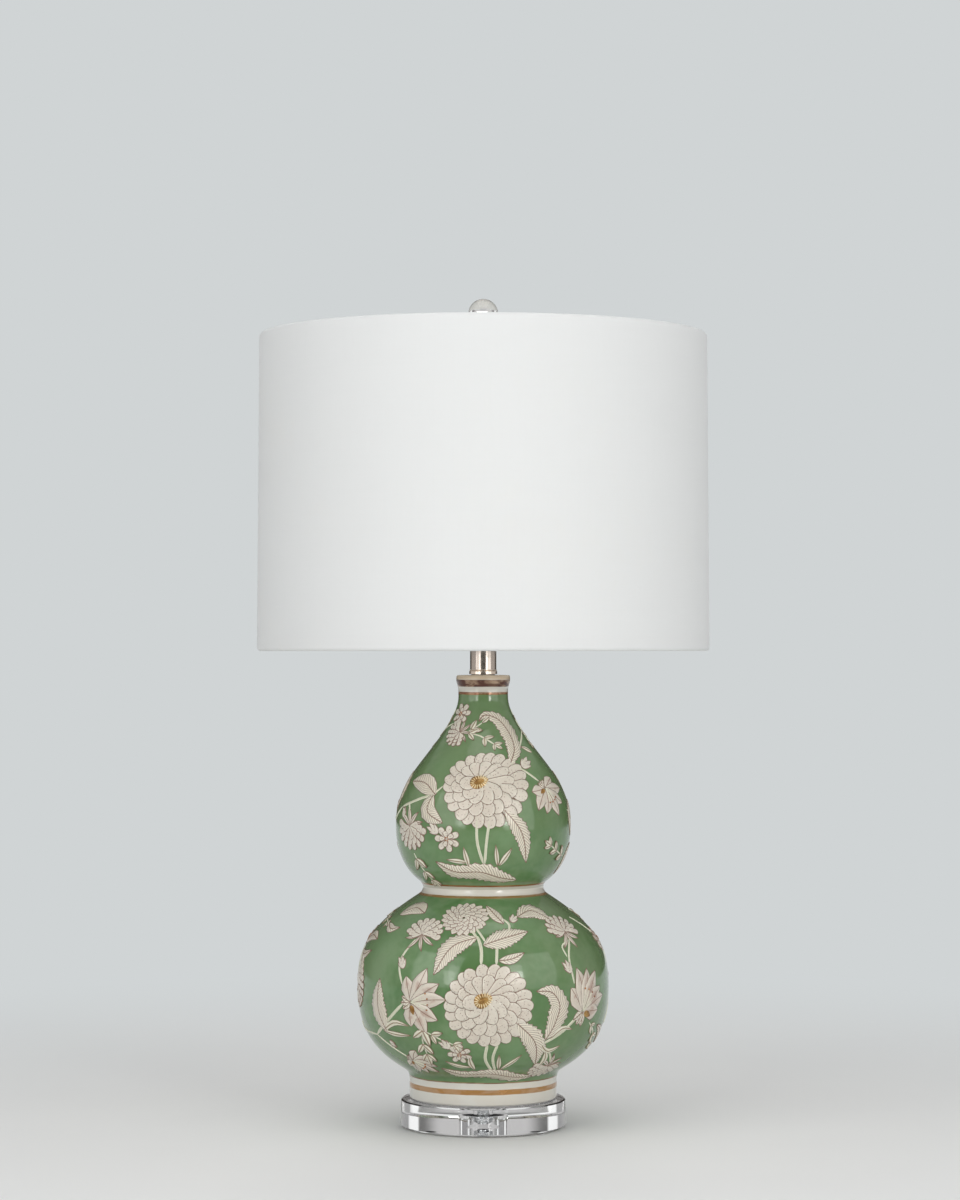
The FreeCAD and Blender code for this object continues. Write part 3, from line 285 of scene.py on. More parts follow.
# --- shared effects
class Effects:
    """The shader groups that several finishes share, each built when it is first asked for."""

    @classmethod
    def start(cls, name: str, inputs: str, outputs: str) -> tuple[Graph, Sockets, Sockets]:
        """Opens a new group, in which Place is a vector and every other socket a number.

        Args:
            name: the group's name.
            inputs: the inputs' names, with spaces between.
            outputs: the outputs' names, with spaces between.

        Returns:
            The graph, the inputs' sockets and the outputs' sockets.
        """
        tree = bpy.data.node_groups.new(name, "ShaderNodeTree")
        for side, labels in (("INPUT", inputs), ("OUTPUT", outputs)):
            for label in labels.split():
                kind = "NodeSocketVector" if label == "Place" else "NodeSocketFloat"
                tree.interface.new_socket(label, in_out=side, socket_type=kind)
        graph = Graph(tree)
        return graph, graph.node("NodeGroupInput").outputs, graph.node("NodeGroupOutput").inputs

    @classmethod
    @cache
    def mottle(cls) -> bpy.types.NodeTree:
        """Clouds and fine ripple of a poured glaze.

        Returns:
            A group with Place and Scale that gives Mask and Height.
        """
        graph, given, out = cls.start("glaze_mottle", "Place Scale", "Mask Height")
        clouds = graph.noise(given["Place"], given["Scale"], 3.0, 0.6)
        fine = graph.noise(given["Place"], graph.times(given["Scale"], 9.0), 2.0)
        graph.put(out["Mask"], graph.smooth(graph.times_plus(fine, 0.25, clouds), 0.42, 0.82))
        graph.put(out["Height"], graph.times_plus(fine, 0.3, clouds))
        return graph.tree

    @classmethod
    @cache
    def band(cls) -> bpy.types.NodeTree:
        """A line painted round the body on a turning wheel, with a hand's wander.

        Returns:
            A group with Place, Low, High and Wander in millimetres that gives Mask.
        """
        graph, given, out = cls.start("painted_band", "Place Low High Wander", "Mask")
        height = graph.times(graph.split(given["Place"])["Z"], 1 / MM)
        shake = graph.less(graph.noise(given["Place"], 38.0, 3.0), 0.5)
        height = graph.times_plus(shake, given["Wander"], height)
        soft = 0.18
        over = graph.smooth(height, graph.less(given["Low"], soft), graph.plus(given["Low"], soft))
        under = graph.smooth(height, graph.plus(given["High"], soft), graph.less(given["High"], soft))
        graph.put(out["Mask"], graph.times(over, under))
        return graph.tree

    @classmethod
    @cache
    def grain(cls) -> bpy.types.NodeTree:
        """Fine lines that a brushing wheel or a die leaves in metal.

        Returns:
            A group with Place and Scale that gives Mask and Height. Place is already stretched along the lines.
        """
        graph, given, out = cls.start("brushed_grain", "Place Scale", "Mask Height")
        lines = graph.noise(given["Place"], given["Scale"], 4.0)
        broad = graph.noise(given["Place"], graph.times(given["Scale"], 0.17), 2.0)
        graph.put(out["Mask"], graph.smooth(graph.times_plus(broad, 0.5, lines), 0.55, 0.98))
        graph.put(out["Height"], lines)
        return graph.tree

    @classmethod
    @cache
    def wear(cls) -> bpy.types.NodeTree:
        """Hazy patches and specks left by handling.

        Returns:
            A group with Place, Scale and Cover that gives Mask.
        """
        graph, given, out = cls.start("handling_wear", "Place Scale Cover", "Mask")
        haze = graph.noise(given["Place"], given["Scale"], 3.0, 0.4)
        specks = graph.noise(given["Place"], graph.times(given["Scale"], 14.0), 2.0)
        low = graph.less(0.78, given["Cover"])
        graph.put(out["Mask"], graph.smooth(graph.times_plus(specks, 0.35, haze), low, graph.plus(low, 0.35)))
        return graph.tree

    @classmethod
    @cache
    def weave(cls) -> bpy.types.NodeTree:
        """Plain weave of threads that run both ways, with slubs.

        Returns:
            A group with Place in metres along the cloth and Pitch in threads to the metre that gives Mask and Height.
        """
        graph, given, out = cls.start("plain_weave", "Place Pitch", "Mask Height")
        threads = []
        for axis, long in (("X", (4.0, 0.12, 1.0)), ("Y", (0.12, 4.0, 1.0))):
            slub = graph.noise(graph.scaled(given["Place"], long), 110.0, 3.0)
            turn = graph.times(graph.split(given["Place"])[axis], graph.times(given["Pitch"], math.pi))
            wave = graph.size_of(graph.math("SINE", graph.times_plus(slub, 0.8, turn)))
            threads.append(graph.times_plus(slub, 0.35, wave))
        graph.put(out["Height"], graph.times(graph.plus(*threads), 0.4))
        graph.put(out["Mask"], graph.times(graph.math("MINIMUM", *threads), 0.7))
        return graph.tree

    @classmethod
    @cache
    def outline(cls) -> bpy.types.NodeTree:
        """A brush line that follows a petal's rim.

        Returns:
            A group with Rim, Width and Place that gives Line and Inside.
        """
        graph, given, out = cls.start("petal_outline", "Rim Width Place", "Line Inside")
        hand = graph.noise(given["Place"], 260.0, 2.0)
        width = graph.times(given["Width"], graph.between(hand, 0.6, 1.35))
        graph.put(out["Line"], graph.smooth(given["Rim"], width, graph.times(width, 0.55)))
        graph.put(out["Inside"], graph.smooth(given["Rim"], width, graph.times(width, 3.2)))
        return graph.tree

    @classmethod
    @cache
    def stipple(cls) -> bpy.types.NodeTree:
        """Small brush dots.

        Returns:
            A group with Place, Scale and Size that gives Mask.
        """
        graph, given, out = cls.start("brush_stipple", "Place Scale Size", "Mask")
        cells = graph.fill(graph.node("ShaderNodeTexVoronoi"), Vector=given["Place"], Scale=given["Scale"])
        dots = graph.smooth(cells.outputs["Distance"], given["Size"], graph.times(given["Size"], 0.45))
        graph.put(out["Mask"], dots)
        return graph.tree


# --- finishes
@dataclass(frozen=True)
class Finish:
    """A finish that can be made into a material."""

    name: str

    @cache
    def make(self) -> bpy.types.Material:
        """Builds the material, once for each finish.

        Returns:
            The finished material.
        """
        material = bpy.data.materials.new(self.name)
        graph = Graph.fresh(material)
        surface = graph.node("ShaderNodeBsdfPrincipled")
        graph.fill(graph.node("ShaderNodeOutputMaterial"), Surface=surface.outputs[0])
        self.dress(graph, surface)
        return material

    def dress(self, graph: Graph, surface: bpy.types.Node) -> None:
        """Fills in the shader.

        Args:
            graph: the material's graph.
            surface: the shader.
        """
        raise NotImplementedError


@dataclass(frozen=True)
class Stripe:
    """A painted band between two heights.

    low and high are in millimetres above the table, and wander is how far the line strays.
    """

    low: float
    high: float
    paint: Colour
    wander: float = 0.5
    lustre: float = 0.0
    patchy: float = 0.0


@dataclass(frozen=True)
class PaintedGlaze(Finish):
    """Gloss glaze: white body, green grounds, gold and brown lines, and a band of painted shade under the upper bulb.
    """

    white: Colour = tint(216, 214, 206)
    cream: Colour = tint(206, 196, 178)
    green_pale: Colour = tint(110, 142, 98)
    green_deep: Colour = tint(80, 118, 68)
    green_olive: Colour = tint(106, 122, 82)
    grounds: tuple[Point, ...] = ((44.6, 196.8), (206.1, 364.9))
    ground_wander: float = 0.7
    cloud_scales: Point = (17.0, 6.5)
    smear_scale: float = 60.0
    gold: Colour = tint(172, 124, 70)
    gloss: Point = (0.09, 0.17)
    ripple: float = 0.0007
    coat: Point = (0.25, 0.05)
    stripes: tuple[Stripe, ...] = (
        Stripe(34.4, 38.7, tint(176, 130, 74), 0.9, 0.7, 0.5),
        Stripe(43.9, 44.8, tint(122, 84, 52), 1.1, 0.2, 0.6),
        Stripe(196.2, 197.9, tint(176, 138, 88), 0.9, 0.6, 0.6),
        # Grey-olive band at the top of the white waist: painted shade under the upper bulb's overhang, not a glaze
        # colour.
        Stripe(203.0, 205.8, tint(184, 181, 166), 0.9),
        Stripe(205.4, 206.7, tint(160, 104, 64), 0.8, 0.6, 0.5),
        Stripe(364.3, 366.5, tint(128, 78, 46), 2.2, 0.4, 0.8),
        Stripe(371.0, 376.9, tint(86, 48, 34), 1.0, 0.45, 0.9),
        Stripe(377.1, 382.0, tint(208, 189, 164), 0.6),
    )

    def dress(self, graph: Graph, surface: bpy.types.Node) -> None:
        """Fills in the shader.

        Args:
            graph: the material's graph.
            surface: the shader.
        """
        place = graph.where()
        clouds, broad = (graph.effect(Effects.mottle(), Place=place, Scale=scale) for scale in self.cloud_scales)
        body = graph.mix(graph.times(clouds["Mask"], 0.35), self.white, self.cream)
        ground = graph.mix(clouds["Mask"], self.green_deep, self.green_pale)
        ground = graph.mix(graph.times(broad["Mask"], 0.45), ground, self.green_olive)
        lustre: object = 0.0
        for low, high in self.grounds:
            band = graph.effect(Effects.band(), Place=place, Low=low, High=high, Wander=self.ground_wander)
            body = graph.mix(band["Mask"], body, ground)
        smears = graph.noise(graph.scaled(place, (1.0, 1.0, 3.5)), self.smear_scale, 3.0, 0.8)
        for stripe in self.stripes:
            ends = {"Low": stripe.low, "High": stripe.high, "Wander": stripe.wander}
            band = graph.effect(Effects.band(), Place=place, **ends)
            thin = graph.times(graph.smooth(smears, 0.42, 0.66), stripe.patchy)
            share = graph.times(band["Mask"], graph.less(1.0, graph.times(thin, 0.35)))
            body = graph.mix(share, body, graph.mix(thin, stripe.paint, self.gold))
            lustre = graph.times_plus(share, stripe.lustre, lustre)
        haze = graph.effect(Effects.wear(), Place=place, Scale=22.0, Cover=0.22)
        rough = graph.between(haze["Mask"], *self.gloss)
        graph.fill(surface, Base_Color=body, Metallic=graph.math("MULTIPLY", lustre, 0.8, clamp=True),
                   Roughness=graph.times_plus(lustre, 0.16, rough),
                   Normal=graph.bump(clouds["Height"], self.ripple, 0.5), Coat_Weight=self.coat[0],
                   Coat_Roughness=self.coat[1])


class Brushwork(Enum):
    """What is painted on a raised shape."""

    PETAL = "petal"
    RAY = "ray"
    LEAF = "leaf"
    STEM = "stem"
    EYE = "eye"
    SMALL = "small"


@dataclass(frozen=True)
class PaintedSlip(Finish):
    """Raised pale slip under glaze, with brown brush lines."""

    work: Brushwork = Brushwork.PETAL
    pale: Colour = tint(209, 201, 187)
    shade: Colour = tint(199, 184, 170)
    line: Colour = tint(118, 80, 62)
    rim: Colour = tint(220, 214, 200)
    flush: Colour = tint(184, 146, 124)
    line_width: float = 0.8
    ribs: float = 1.0
    rib_pitch: float = 2.9
    vein_pitch: float = 1.5
    dots: float = 0.6
    dot_scale: float = 500.0
    dot_size: float = 0.3
    gloss: Point = (0.18, 0.32)
    relief: float = 0.00012

    def dress(self, graph: Graph, surface: bpy.types.Node) -> None:
        """Fills in the shader.

        Args:
            graph: the material's graph.
            surface: the shader.
        """
        place = graph.where()
        rim, tone = graph.attribute("rim"), graph.attribute("tone")
        edge = graph.effect(Effects.outline(), Rim=rim, Width=self.line_width, Place=place)
        blush = graph.effect(Effects.mottle(), Place=place, Scale=95.0)
        body = graph.mix(graph.times_plus(tone, 0.5, graph.times(blush["Mask"], 0.5)), self.pale, self.shade)
        body = graph.mix(graph.times(edge["Inside"], 0.55), self.rim, body)
        along = graph.split(graph.attribute("blade", "Vector"))
        height = graph.times(edge["Inside"], -0.5)
        if self.work is Brushwork.LEAF:
            slant = graph.times_plus(graph.size_of(along["Y"]), -1.25, along["X"])
            ribs = graph.math("SINE", graph.times(slant, 2 * math.pi / self.rib_pitch))
            ribs = graph.times(graph.times(graph.smooth(ribs, 0.6, 0.98), graph.smooth(rim, 0.6, 1.2)), self.ribs)
            spine = graph.smooth(graph.size_of(along["Y"]), 0.62, 0.3)
            body = graph.mix(graph.times(graph.greater(ribs, spine), 0.85), body, self.line)
            height = graph.less(height, graph.times(ribs, 0.8))
        if self.work is Brushwork.RAY:
            veins = graph.math("SINE", graph.times(along["Y"], 2 * math.pi / self.vein_pitch))
            veins = graph.times(graph.smooth(graph.size_of(veins), 0.55, 1.0), graph.smooth(rim, 0.9, 1.7))
            spine = graph.smooth(graph.size_of(along["Y"]), 0.6, 0.2)
            flush = graph.times(graph.smooth(rim, 2.6, 5.6), graph.smooth(blush["Mask"], 0.2, 0.8))
            body = graph.mix(graph.times(flush, 0.6), body, self.flush)
            lines = graph.greater(graph.times(veins, 0.3), spine)
            body = graph.mix(graph.times(lines, 0.75), body, self.line)
        if self.work is Brushwork.PETAL:
            dots = graph.effect(Effects.stipple(), Place=place, Scale=self.dot_scale, Size=self.dot_size)
            dots = graph.times(dots["Mask"], graph.smooth(rim, 0.6, 1.3))
            body = graph.mix(graph.times(dots, self.dots), body, self.line)
            height = graph.less(height, graph.times(dots, 0.6))
        if self.work is not Brushwork.STEM:
            body = graph.mix(graph.times(edge["Line"], 0.85), body, self.line)
        grip = graph.effect(Effects.wear(), Place=place, Scale=60.0, Cover=0.2)
        graph.fill(surface, Base_Color=body, Roughness=graph.between(grip["Mask"], *self.gloss),
                   Normal=graph.bump(height, self.relief, 0.8))


@dataclass(frozen=True)
class GildedSlip(Finish):
    """Gold lustre over small raised beads and ribs."""

    bright: Colour = tint(214, 178, 112)
    deep: Colour = tint(150, 104, 52)
    lustre: Point = (0.35, 0.75)
    roughness: Point = (0.28, 0.42)
    rub: float = 0.00005

    def dress(self, graph: Graph, surface: bpy.types.Node) -> None:
        """Fills in the shader.

        Args:
            graph: the material's graph.
            surface: the shader.
        """
        place = graph.where()
        rubbed = graph.effect(Effects.wear(), Place=place, Scale=150.0, Cover=0.3)
        graph.fill(surface, Base_Color=graph.mix(rubbed["Mask"], self.bright, self.deep),
                   Metallic=graph.between(rubbed["Mask"], *self.lustre),
                   Roughness=graph.between(rubbed["Mask"], *self.roughness),
                   Normal=graph.bump(rubbed["Mask"], self.rub))


class Lay(Enum):
    """Which way the fine lines of a metal run."""

    UPRIGHT = (1.0, 1.0, 0.02)
    ROUND = (0.03, 0.03, 1.0)
    EVEN = (1.0, 1.0, 1.0)


@dataclass(frozen=True)
class Metal(Finish):
    """Plated, stamped or rolled metal with its fine lines and handling haze."""

    bright: Colour = tint(222, 210, 198)
    dull: Colour = tint(196, 182, 168)
    roughness: Point = (0.2, 0.34)
    lay: Lay = Lay.ROUND
    lines: float = 900.0
    depth: float = 0.00002

    def dress(self, graph: Graph, surface: bpy.types.Node) -> None:
        """Fills in the shader.

        Args:
            graph: the material's graph.
            surface: the shader.
        """
        place = graph.where()
        grain = graph.effect(Effects.grain(), Place=graph.scaled(place, self.lay.value), Scale=self.lines)
        haze = graph.effect(Effects.wear(), Place=place, Scale=75.0, Cover=0.2)
        worn = graph.times_plus(haze["Mask"], 0.4, graph.times(grain["Mask"], 0.6))
        rough = graph.between(grain["Mask"], *self.roughness)
        graph.fill(surface, Base_Color=graph.mix(worn, self.bright, self.dull), Metallic=1.0,
                   Roughness=graph.times_plus(haze["Mask"], 0.08, rough),
                   Normal=graph.bump(grain["Height"], self.depth, 0.6))


@dataclass(frozen=True)
class ClearSolid(Finish):
    """Clear acrylic, crystal, glass or soft vinyl, with a trace of haze on its skin."""

    colour: Colour = (1.0, 1.0, 1.0, 1.0)
    index: float = 1.49
    roughness: Point = (0.0, 0.03)
    clear: float = 1.0
    haze: float = 30.0
    ripple: float = 0.00001

    def dress(self, graph: Graph, surface: bpy.types.Node) -> None:
        """Fills in the shader.

        Args:
            graph: the material's graph.
            surface: the shader.
        """
        place = graph.where()
        haze = graph.effect(Effects.wear(), Place=place, Scale=self.haze, Cover=0.16)
        soft = graph.effect(Effects.mottle(), Place=place, Scale=self.haze)
        deeper = tuple(0.96 * part for part in self.colour[:3]) + (1.0,)
        graph.fill(surface, Base_Color=graph.mix(haze["Mask"], self.colour, deeper), Metallic=0.0,
                   Transmission_Weight=self.clear, IOR=self.index,
                   Roughness=graph.between(haze["Mask"], *self.roughness),
                   Normal=graph.bump(soft["Height"], self.ripple, 0.4))


@dataclass(frozen=True)
class Moulded(Finish):
    """Moulded plastic, board or soft sheet with a fine texture."""

    colour: Colour = tint(30, 30, 30)
    worn: Colour = tint(60, 60, 58)
    roughness: Point = (0.3, 0.5)
    texture: float = 1400.0
    depth: float = 0.00002

    def dress(self, graph: Graph, surface: bpy.types.Node) -> None:
        """Fills in the shader.

        Args:
            graph: the material's graph.
            surface: the shader.
        """
        place = graph.where()
        wear = graph.effect(Effects.wear(), Place=place, Scale=45.0, Cover=0.22)
        skin = graph.effect(Effects.mottle(), Place=place, Scale=self.texture)
        worn = graph.times_plus(wear["Mask"], 0.6, graph.times(skin["Mask"], 0.25))
        graph.fill(surface, Base_Color=graph.mix(worn, self.colour, self.worn),
                   Roughness=graph.between(wear["Mask"], *self.roughness),
                   Normal=graph.bump(skin["Height"], self.depth, 0.5))


@dataclass(frozen=True)
class ShadeCloth(Finish):
    """White shade cloth in a very fine plain weave."""

    thread: Colour = tint(232, 233, 233)
    gap: Colour = tint(220, 222, 222)
    dust: Colour = tint(226, 224, 216)
    pitch: float = 1500.0
    roughness: Point = (0.92, 0.8)
    sheen: Point = (0.15, 0.4)
    relief: float = 0.00012

    def dress(self, graph: Graph, surface: bpy.types.Node) -> None:
        """Fills in the shader.

        Args:
            graph: the material's graph.
            surface: the shader.
        """
        place = graph.node("ShaderNodeUVMap", uv_map="cloth").outputs[0]
        weave = graph.effect(Effects.weave(), Place=place, Pitch=self.pitch)
        dust = graph.effect(Effects.wear(), Place=graph.where(), Scale=7.0, Cover=0.1)
        body = graph.mix(weave["Mask"], self.gap, self.thread)
        graph.fill(surface, Base_Color=graph.mix(graph.times(dust["Mask"], 0.15), body, self.dust),
                   Roughness=graph.between(weave["Mask"], *self.roughness), Sheen_Weight=self.sheen[0],
                   Sheen_Roughness=self.sheen[1], Specular_IOR_Level=0.25,
                   Normal=graph.bump(weave["Height"], self.relief, 0.35))


FINISHES: dict[str, Finish] = {
    "clear_bumper": ClearSolid("soft_clear_bumper", index=1.45, roughness=(0.12, 0.25), clear=0.85),
    "clear_gasket": ClearSolid("soft_clear_gasket", index=1.45, roughness=(0.15, 0.3), clear=0.8),
    "acrylic": ClearSolid("cast_acrylic", (0.985, 0.995, 0.995, 1.0), 1.49, (0.0, 0.02)),
    "zinc_steel": Metal("zinc_plated_steel", tint(196, 198, 200), tint(150, 152, 156), (0.22, 0.4), Lay.EVEN, 500.0),
    "ceramic_glaze": PaintedGlaze("painted_glaze"),
    "grommet_plastic": Moulded("pale_grommet", tint(196, 192, 180), tint(170, 164, 150)),
    "neck_rubber": Moulded("soft_neck_washer", tint(188, 184, 174), tint(160, 154, 144), (0.5, 0.7)),
    "brushed_nickel": Metal("brushed_nickel", roughness=(0.14, 0.24), lay=Lay.ROUND, depth=0.00001),
    "socket_nickel": Metal("spun_nickel_sheet", tint(200, 192, 182), tint(160, 150, 140), (0.24, 0.38)),
    "socket_paper": Moulded("insulating_paper", tint(150, 122, 84), tint(118, 94, 64), (0.7, 0.9), 700.0, 0.0001),
    "moulded_black": Moulded("black_phenolic"),
    "brass_contacts": Metal("stamped_brass", tint(214, 178, 104), tint(166, 128, 66), (0.22, 0.38), Lay.EVEN, 420.0),
    "bulb_solder": Metal("tinned_solder", tint(190, 190, 188), tint(146, 146, 144), (0.34, 0.52), Lay.EVEN, 300.0),
    "bulb_black_glass": Moulded("black_vitrite", tint(14, 14, 16), tint(30, 30, 34), (0.06, 0.16), 260.0),
    "bulb_cap_metal": Metal("rolled_aluminium", tint(214, 214, 212), tint(176, 176, 174), (0.22, 0.36)),
    "frosted_glass": ClearSolid("inside_frosted_glass", (0.98, 0.98, 0.96, 1.0), 1.46, (0.34, 0.46), 0.92, 26.0),
    "clear_glass": ClearSolid("lead_in_glass", (0.97, 0.99, 0.98, 1.0), 1.5, (0.0, 0.05), haze=120.0),
    "tungsten": Metal("drawn_tungsten", tint(132, 132, 136), tint(96, 96, 100), (0.3, 0.46), Lay.EVEN, 900.0),
    "shade_cloth": ShadeCloth("white_shade_cloth"),
    "shade_plastic": Moulded("white_styrene_sheet", tint(242, 242, 239), tint(238, 238, 234), (0.48, 0.56), 500.0),
    "white_wire": Moulded("white_powder_coat", tint(226, 226, 222), tint(204, 203, 196), (0.32, 0.5), 900.0, 0.00004),
    "crystal": ClearSolid("polished_crystal", (1.0, 1.0, 1.0, 1.0), 1.52, (0.0, 0.015), haze=90.0),
}
DRAWN_NICKEL = Metal("drawn_nickel", tint(194, 185, 178), tint(178, 168, 160), (0.1, 0.18), Lay.UPRIGHT, 1100.0,
                     0.000006)
PALE_GOLD = GildedSlip("pale_gold_rib", tint(240, 226, 188), tint(222, 196, 144), (0.0, 0.15))
AMBER = GildedSlip("amber_lustre", tint(196, 132, 70), tint(140, 78, 40))
SLIP: dict[Brushwork, Finish] = {
    Brushwork.PETAL: PaintedSlip("slip_petal", Brushwork.PETAL),
    Brushwork.RAY: PaintedSlip("slip_ray", Brushwork.RAY, tint(220, 211, 196), tint(208, 196, 181),
                               flush=tint(172, 138, 124), line_width=0.6),
    Brushwork.EYE: GildedSlip("eye_gold_ground", tint(184, 146, 84), tint(132, 92, 46)),
    Brushwork.LEAF: PaintedSlip("slip_leaf", Brushwork.LEAF, tint(226, 218, 201), tint(212, 202, 183),
                                tint(112, 76, 56), tint(228, 223, 207), line_width=0.7),
    Brushwork.SMALL: PaintedSlip("slip_leaflet", Brushwork.LEAF, tint(218, 214, 193), tint(204, 199, 174),
                                 tint(128, 98, 74), tint(226, 224, 206), line_width=0.4, ribs=0.0),
    Brushwork.STEM: PaintedSlip("slip_stem", Brushwork.STEM, tint(208, 206, 180), tint(186, 184, 152),
                                tint(132, 108, 84), tint(220, 220, 198), line_width=0.3),
}


# --- the body's surface
def run_of(line: np.ndarray) -> np.ndarray:
    """Gives the running length at each point of a line."""
    return np.concatenate([[0.0], np.cumsum(np.linalg.norm(np.diff(line, axis=0), axis=1))])


@dataclass
class GourdSurface:
    """The body's outline as a surface that ornament is laid on.

    spans hold a start, its heading and pull, and an end, its heading and pull, in millimetres and degrees.
    """

    spans: tuple[tuple[Point, float, float, Point, float, float], ...] = (
        ((62.1, 40.0), 90.0, 0.52, (71.3, 52.92), 32.3, 0.45),
        ((71.3, 52.92), 32.3, 0.33, (105.9, 118.8), 90.0, 0.48),
        ((105.9, 118.8), 90.0, 0.41, (54.0, 196.6), 147.0, 0.45),
        ((54.0, 196.6), 147.0, 0.30, (51.0, 202.2), 90.0, 0.45),
        ((51.0, 202.2), 90.0, 0.45, (54.0, 207.8), 36.6, 0.30),
        ((54.0, 207.8), 36.6, 0.32, (73.8, 253.6), 90.0, 0.40),
        ((73.8, 253.6), 90.0, 0.41, (43.38, 319.46), 127.3, 0.34),
        ((43.38, 319.46), 127.3, 0.39, (20.9, 363.0), 90.0, 0.28),
    )
    steps: int = 80
    line: np.ndarray = field(init=False)
    along: np.ndarray = field(init=False)
    out: np.ndarray = field(init=False)

    def __post_init__(self) -> None:
        """Samples the outline, its running length and its outward direction."""
        points: list[Point] = []
        for start, start_heading, start_pull, end, end_heading, end_pull in self.spans:
            chord = math.dist(start, end)
            pull, drag = polar(chord * start_pull, start_heading), polar(chord * end_pull, end_heading)
            first = (start[0] + pull[0], start[1] + pull[1])
            second = (end[0] - drag[0], end[1] - drag[1])
            for step in range(self.steps):
                t = step / self.steps
                shares = ((1 - t) ** 3, 3 * t * (1 - t) ** 2, 3 * t * t * (1 - t), t ** 3)
                points.append(tuple(sum(s * p[axis] for s, p in zip(shares, (start, first, second, end)))
                                    for axis in (0, 1)))
        points.append(self.spans[-1][3])
        self.line = np.array(points)
        self.along = run_of(self.line)
        heading = np.gradient(self.line, self.along, axis=0)
        heading /= np.linalg.norm(heading, axis=1)[:, None]
        self.out = np.column_stack([heading[:, 1], -heading[:, 0]])

    def length_at(self, height: float) -> float:
        """Gives the millimetres along the outline at a height in millimetres."""
        return float(np.interp(height, self.line[:, 1], self.along))

    def radius_at(self, along: np.ndarray | float) -> np.ndarray:
        """Gives the radius in millimetres at a running length."""
        return np.interp(along, self.along, self.line[:, 0])

    def flat(self, anchor: Point, point: Point) -> Point:
        """Unrolls a place on the body beside an anchor.

        Args:
            anchor: degrees round the front, and height.
            point: degrees round the front, and height.

        Returns:
            Millimetres to the right of the anchor, and above it along the surface.
        """
        along = self.length_at(point[1])
        across = math.radians(point[0] - anchor[0]) * float(self.radius_at(along))
        return across, along - self.length_at(anchor[1])

    def wrap(self, anchor: Point, flat: np.ndarray, proud: np.ndarray) -> np.ndarray:
        """Lays flat points on the body.

        Args:
            anchor: degrees round the front, and height.
            flat: millimetres right of the anchor and above it.
            proud: millimetres off the surface.

        Returns:
            Places in metres.
        """
        along = self.length_at(anchor[1]) + flat[:, 1]
        radius = self.radius_at(along)
        turn = math.radians(anchor[0]) + flat[:, 0] / radius
        out = np.column_stack([np.interp(along, self.along, self.out[:, i]) for i in (0, 1)])
        height = np.interp(along, self.along, self.line[:, 1]) + proud * out[:, 1]
        radius = radius + proud * out[:, 0]
        return np.column_stack([radius * np.sin(turn), -radius * np.cos(turn), height]) * MM


# --- meshes
def skin(rows: int, stations: int, base: int = 0) -> list[tuple[int, ...]]:
    """Joins rows of points into a closed tube with a face at each end.

    Args:
        rows: how many rows go round the tube.
        stations: how many points a row has.
        base: the first point's number.

    Returns:
        The faces.
    """
    faces: list[tuple[int, ...]] = []
    for row in range(rows):
        here, after = base + row * stations, base + (row + 1) % rows * stations
        faces += [(here + i, here + i + 1, after + i + 1, after + i) for i in range(stations - 1)]
    faces.append(tuple(base + row * stations for row in range(rows)))
    faces.append(tuple(base + row * stations + stations - 1 for row in reversed(range(rows))))
    return faces


class Workshop:
    """Makes meshes and puts pieces in the scene."""

    @staticmethod
    def mesh(name: str, points: list, faces: list[tuple[int, ...]] | None = None) -> bpy.types.Mesh:
        """Makes a mesh.

        Args:
            name: the mesh's name.
            points: its points in metres.
            faces: its faces, none for bare points.

        Returns:
            The mesh.
        """
        made = bpy.data.meshes.new(name)
        made.from_pydata(points, [], faces or [])
        return made

    @staticmethod
    def mark(mesh: bpy.types.Mesh, kind: str, **values: object) -> None:
        """Gives a mesh's points their attributes.

        Args:
            mesh: the mesh.
            kind: FLOAT or FLOAT_VECTOR.
            values: the numbers in a row, by the attribute's name.
        """
        for label, numbers in values.items():
            layer = mesh.attributes.new(label, kind, "POINT")
            layer.data.foreach_set("value" if kind == "FLOAT" else "vector", numbers)

    @staticmethod
    def soften(mesh: bpy.types.Mesh) -> None:
        """Shades all faces smooth."""
        mesh.polygons.foreach_set("use_smooth", [True] * len(mesh.polygons))

    @staticmethod
    def stand(name: str, data: bpy.types.ID) -> bpy.types.Object:
        """Puts a new object in the scene.

        Args:
            name: the object's name.
            data: its mesh, lamp or camera.

        Returns:
            The object.
        """
        made = bpy.data.objects.new(name, data)
        bpy.context.scene.collection.objects.link(made)
        return made

    @classmethod
    def add(cls, name: str, mesh: bpy.types.Mesh) -> bpy.types.Object:
        """Puts a mesh in the scene with its faces turned outwards.

        Args:
            name: the piece's name.
            mesh: its mesh.

        Returns:
            The piece.
        """
        shell = bmesh.new()
        shell.from_mesh(mesh)
        bmesh.ops.recalc_face_normals(shell, faces=shell.faces)
        shell.to_mesh(mesh)
        shell.free()
        return cls.stand(name, mesh)


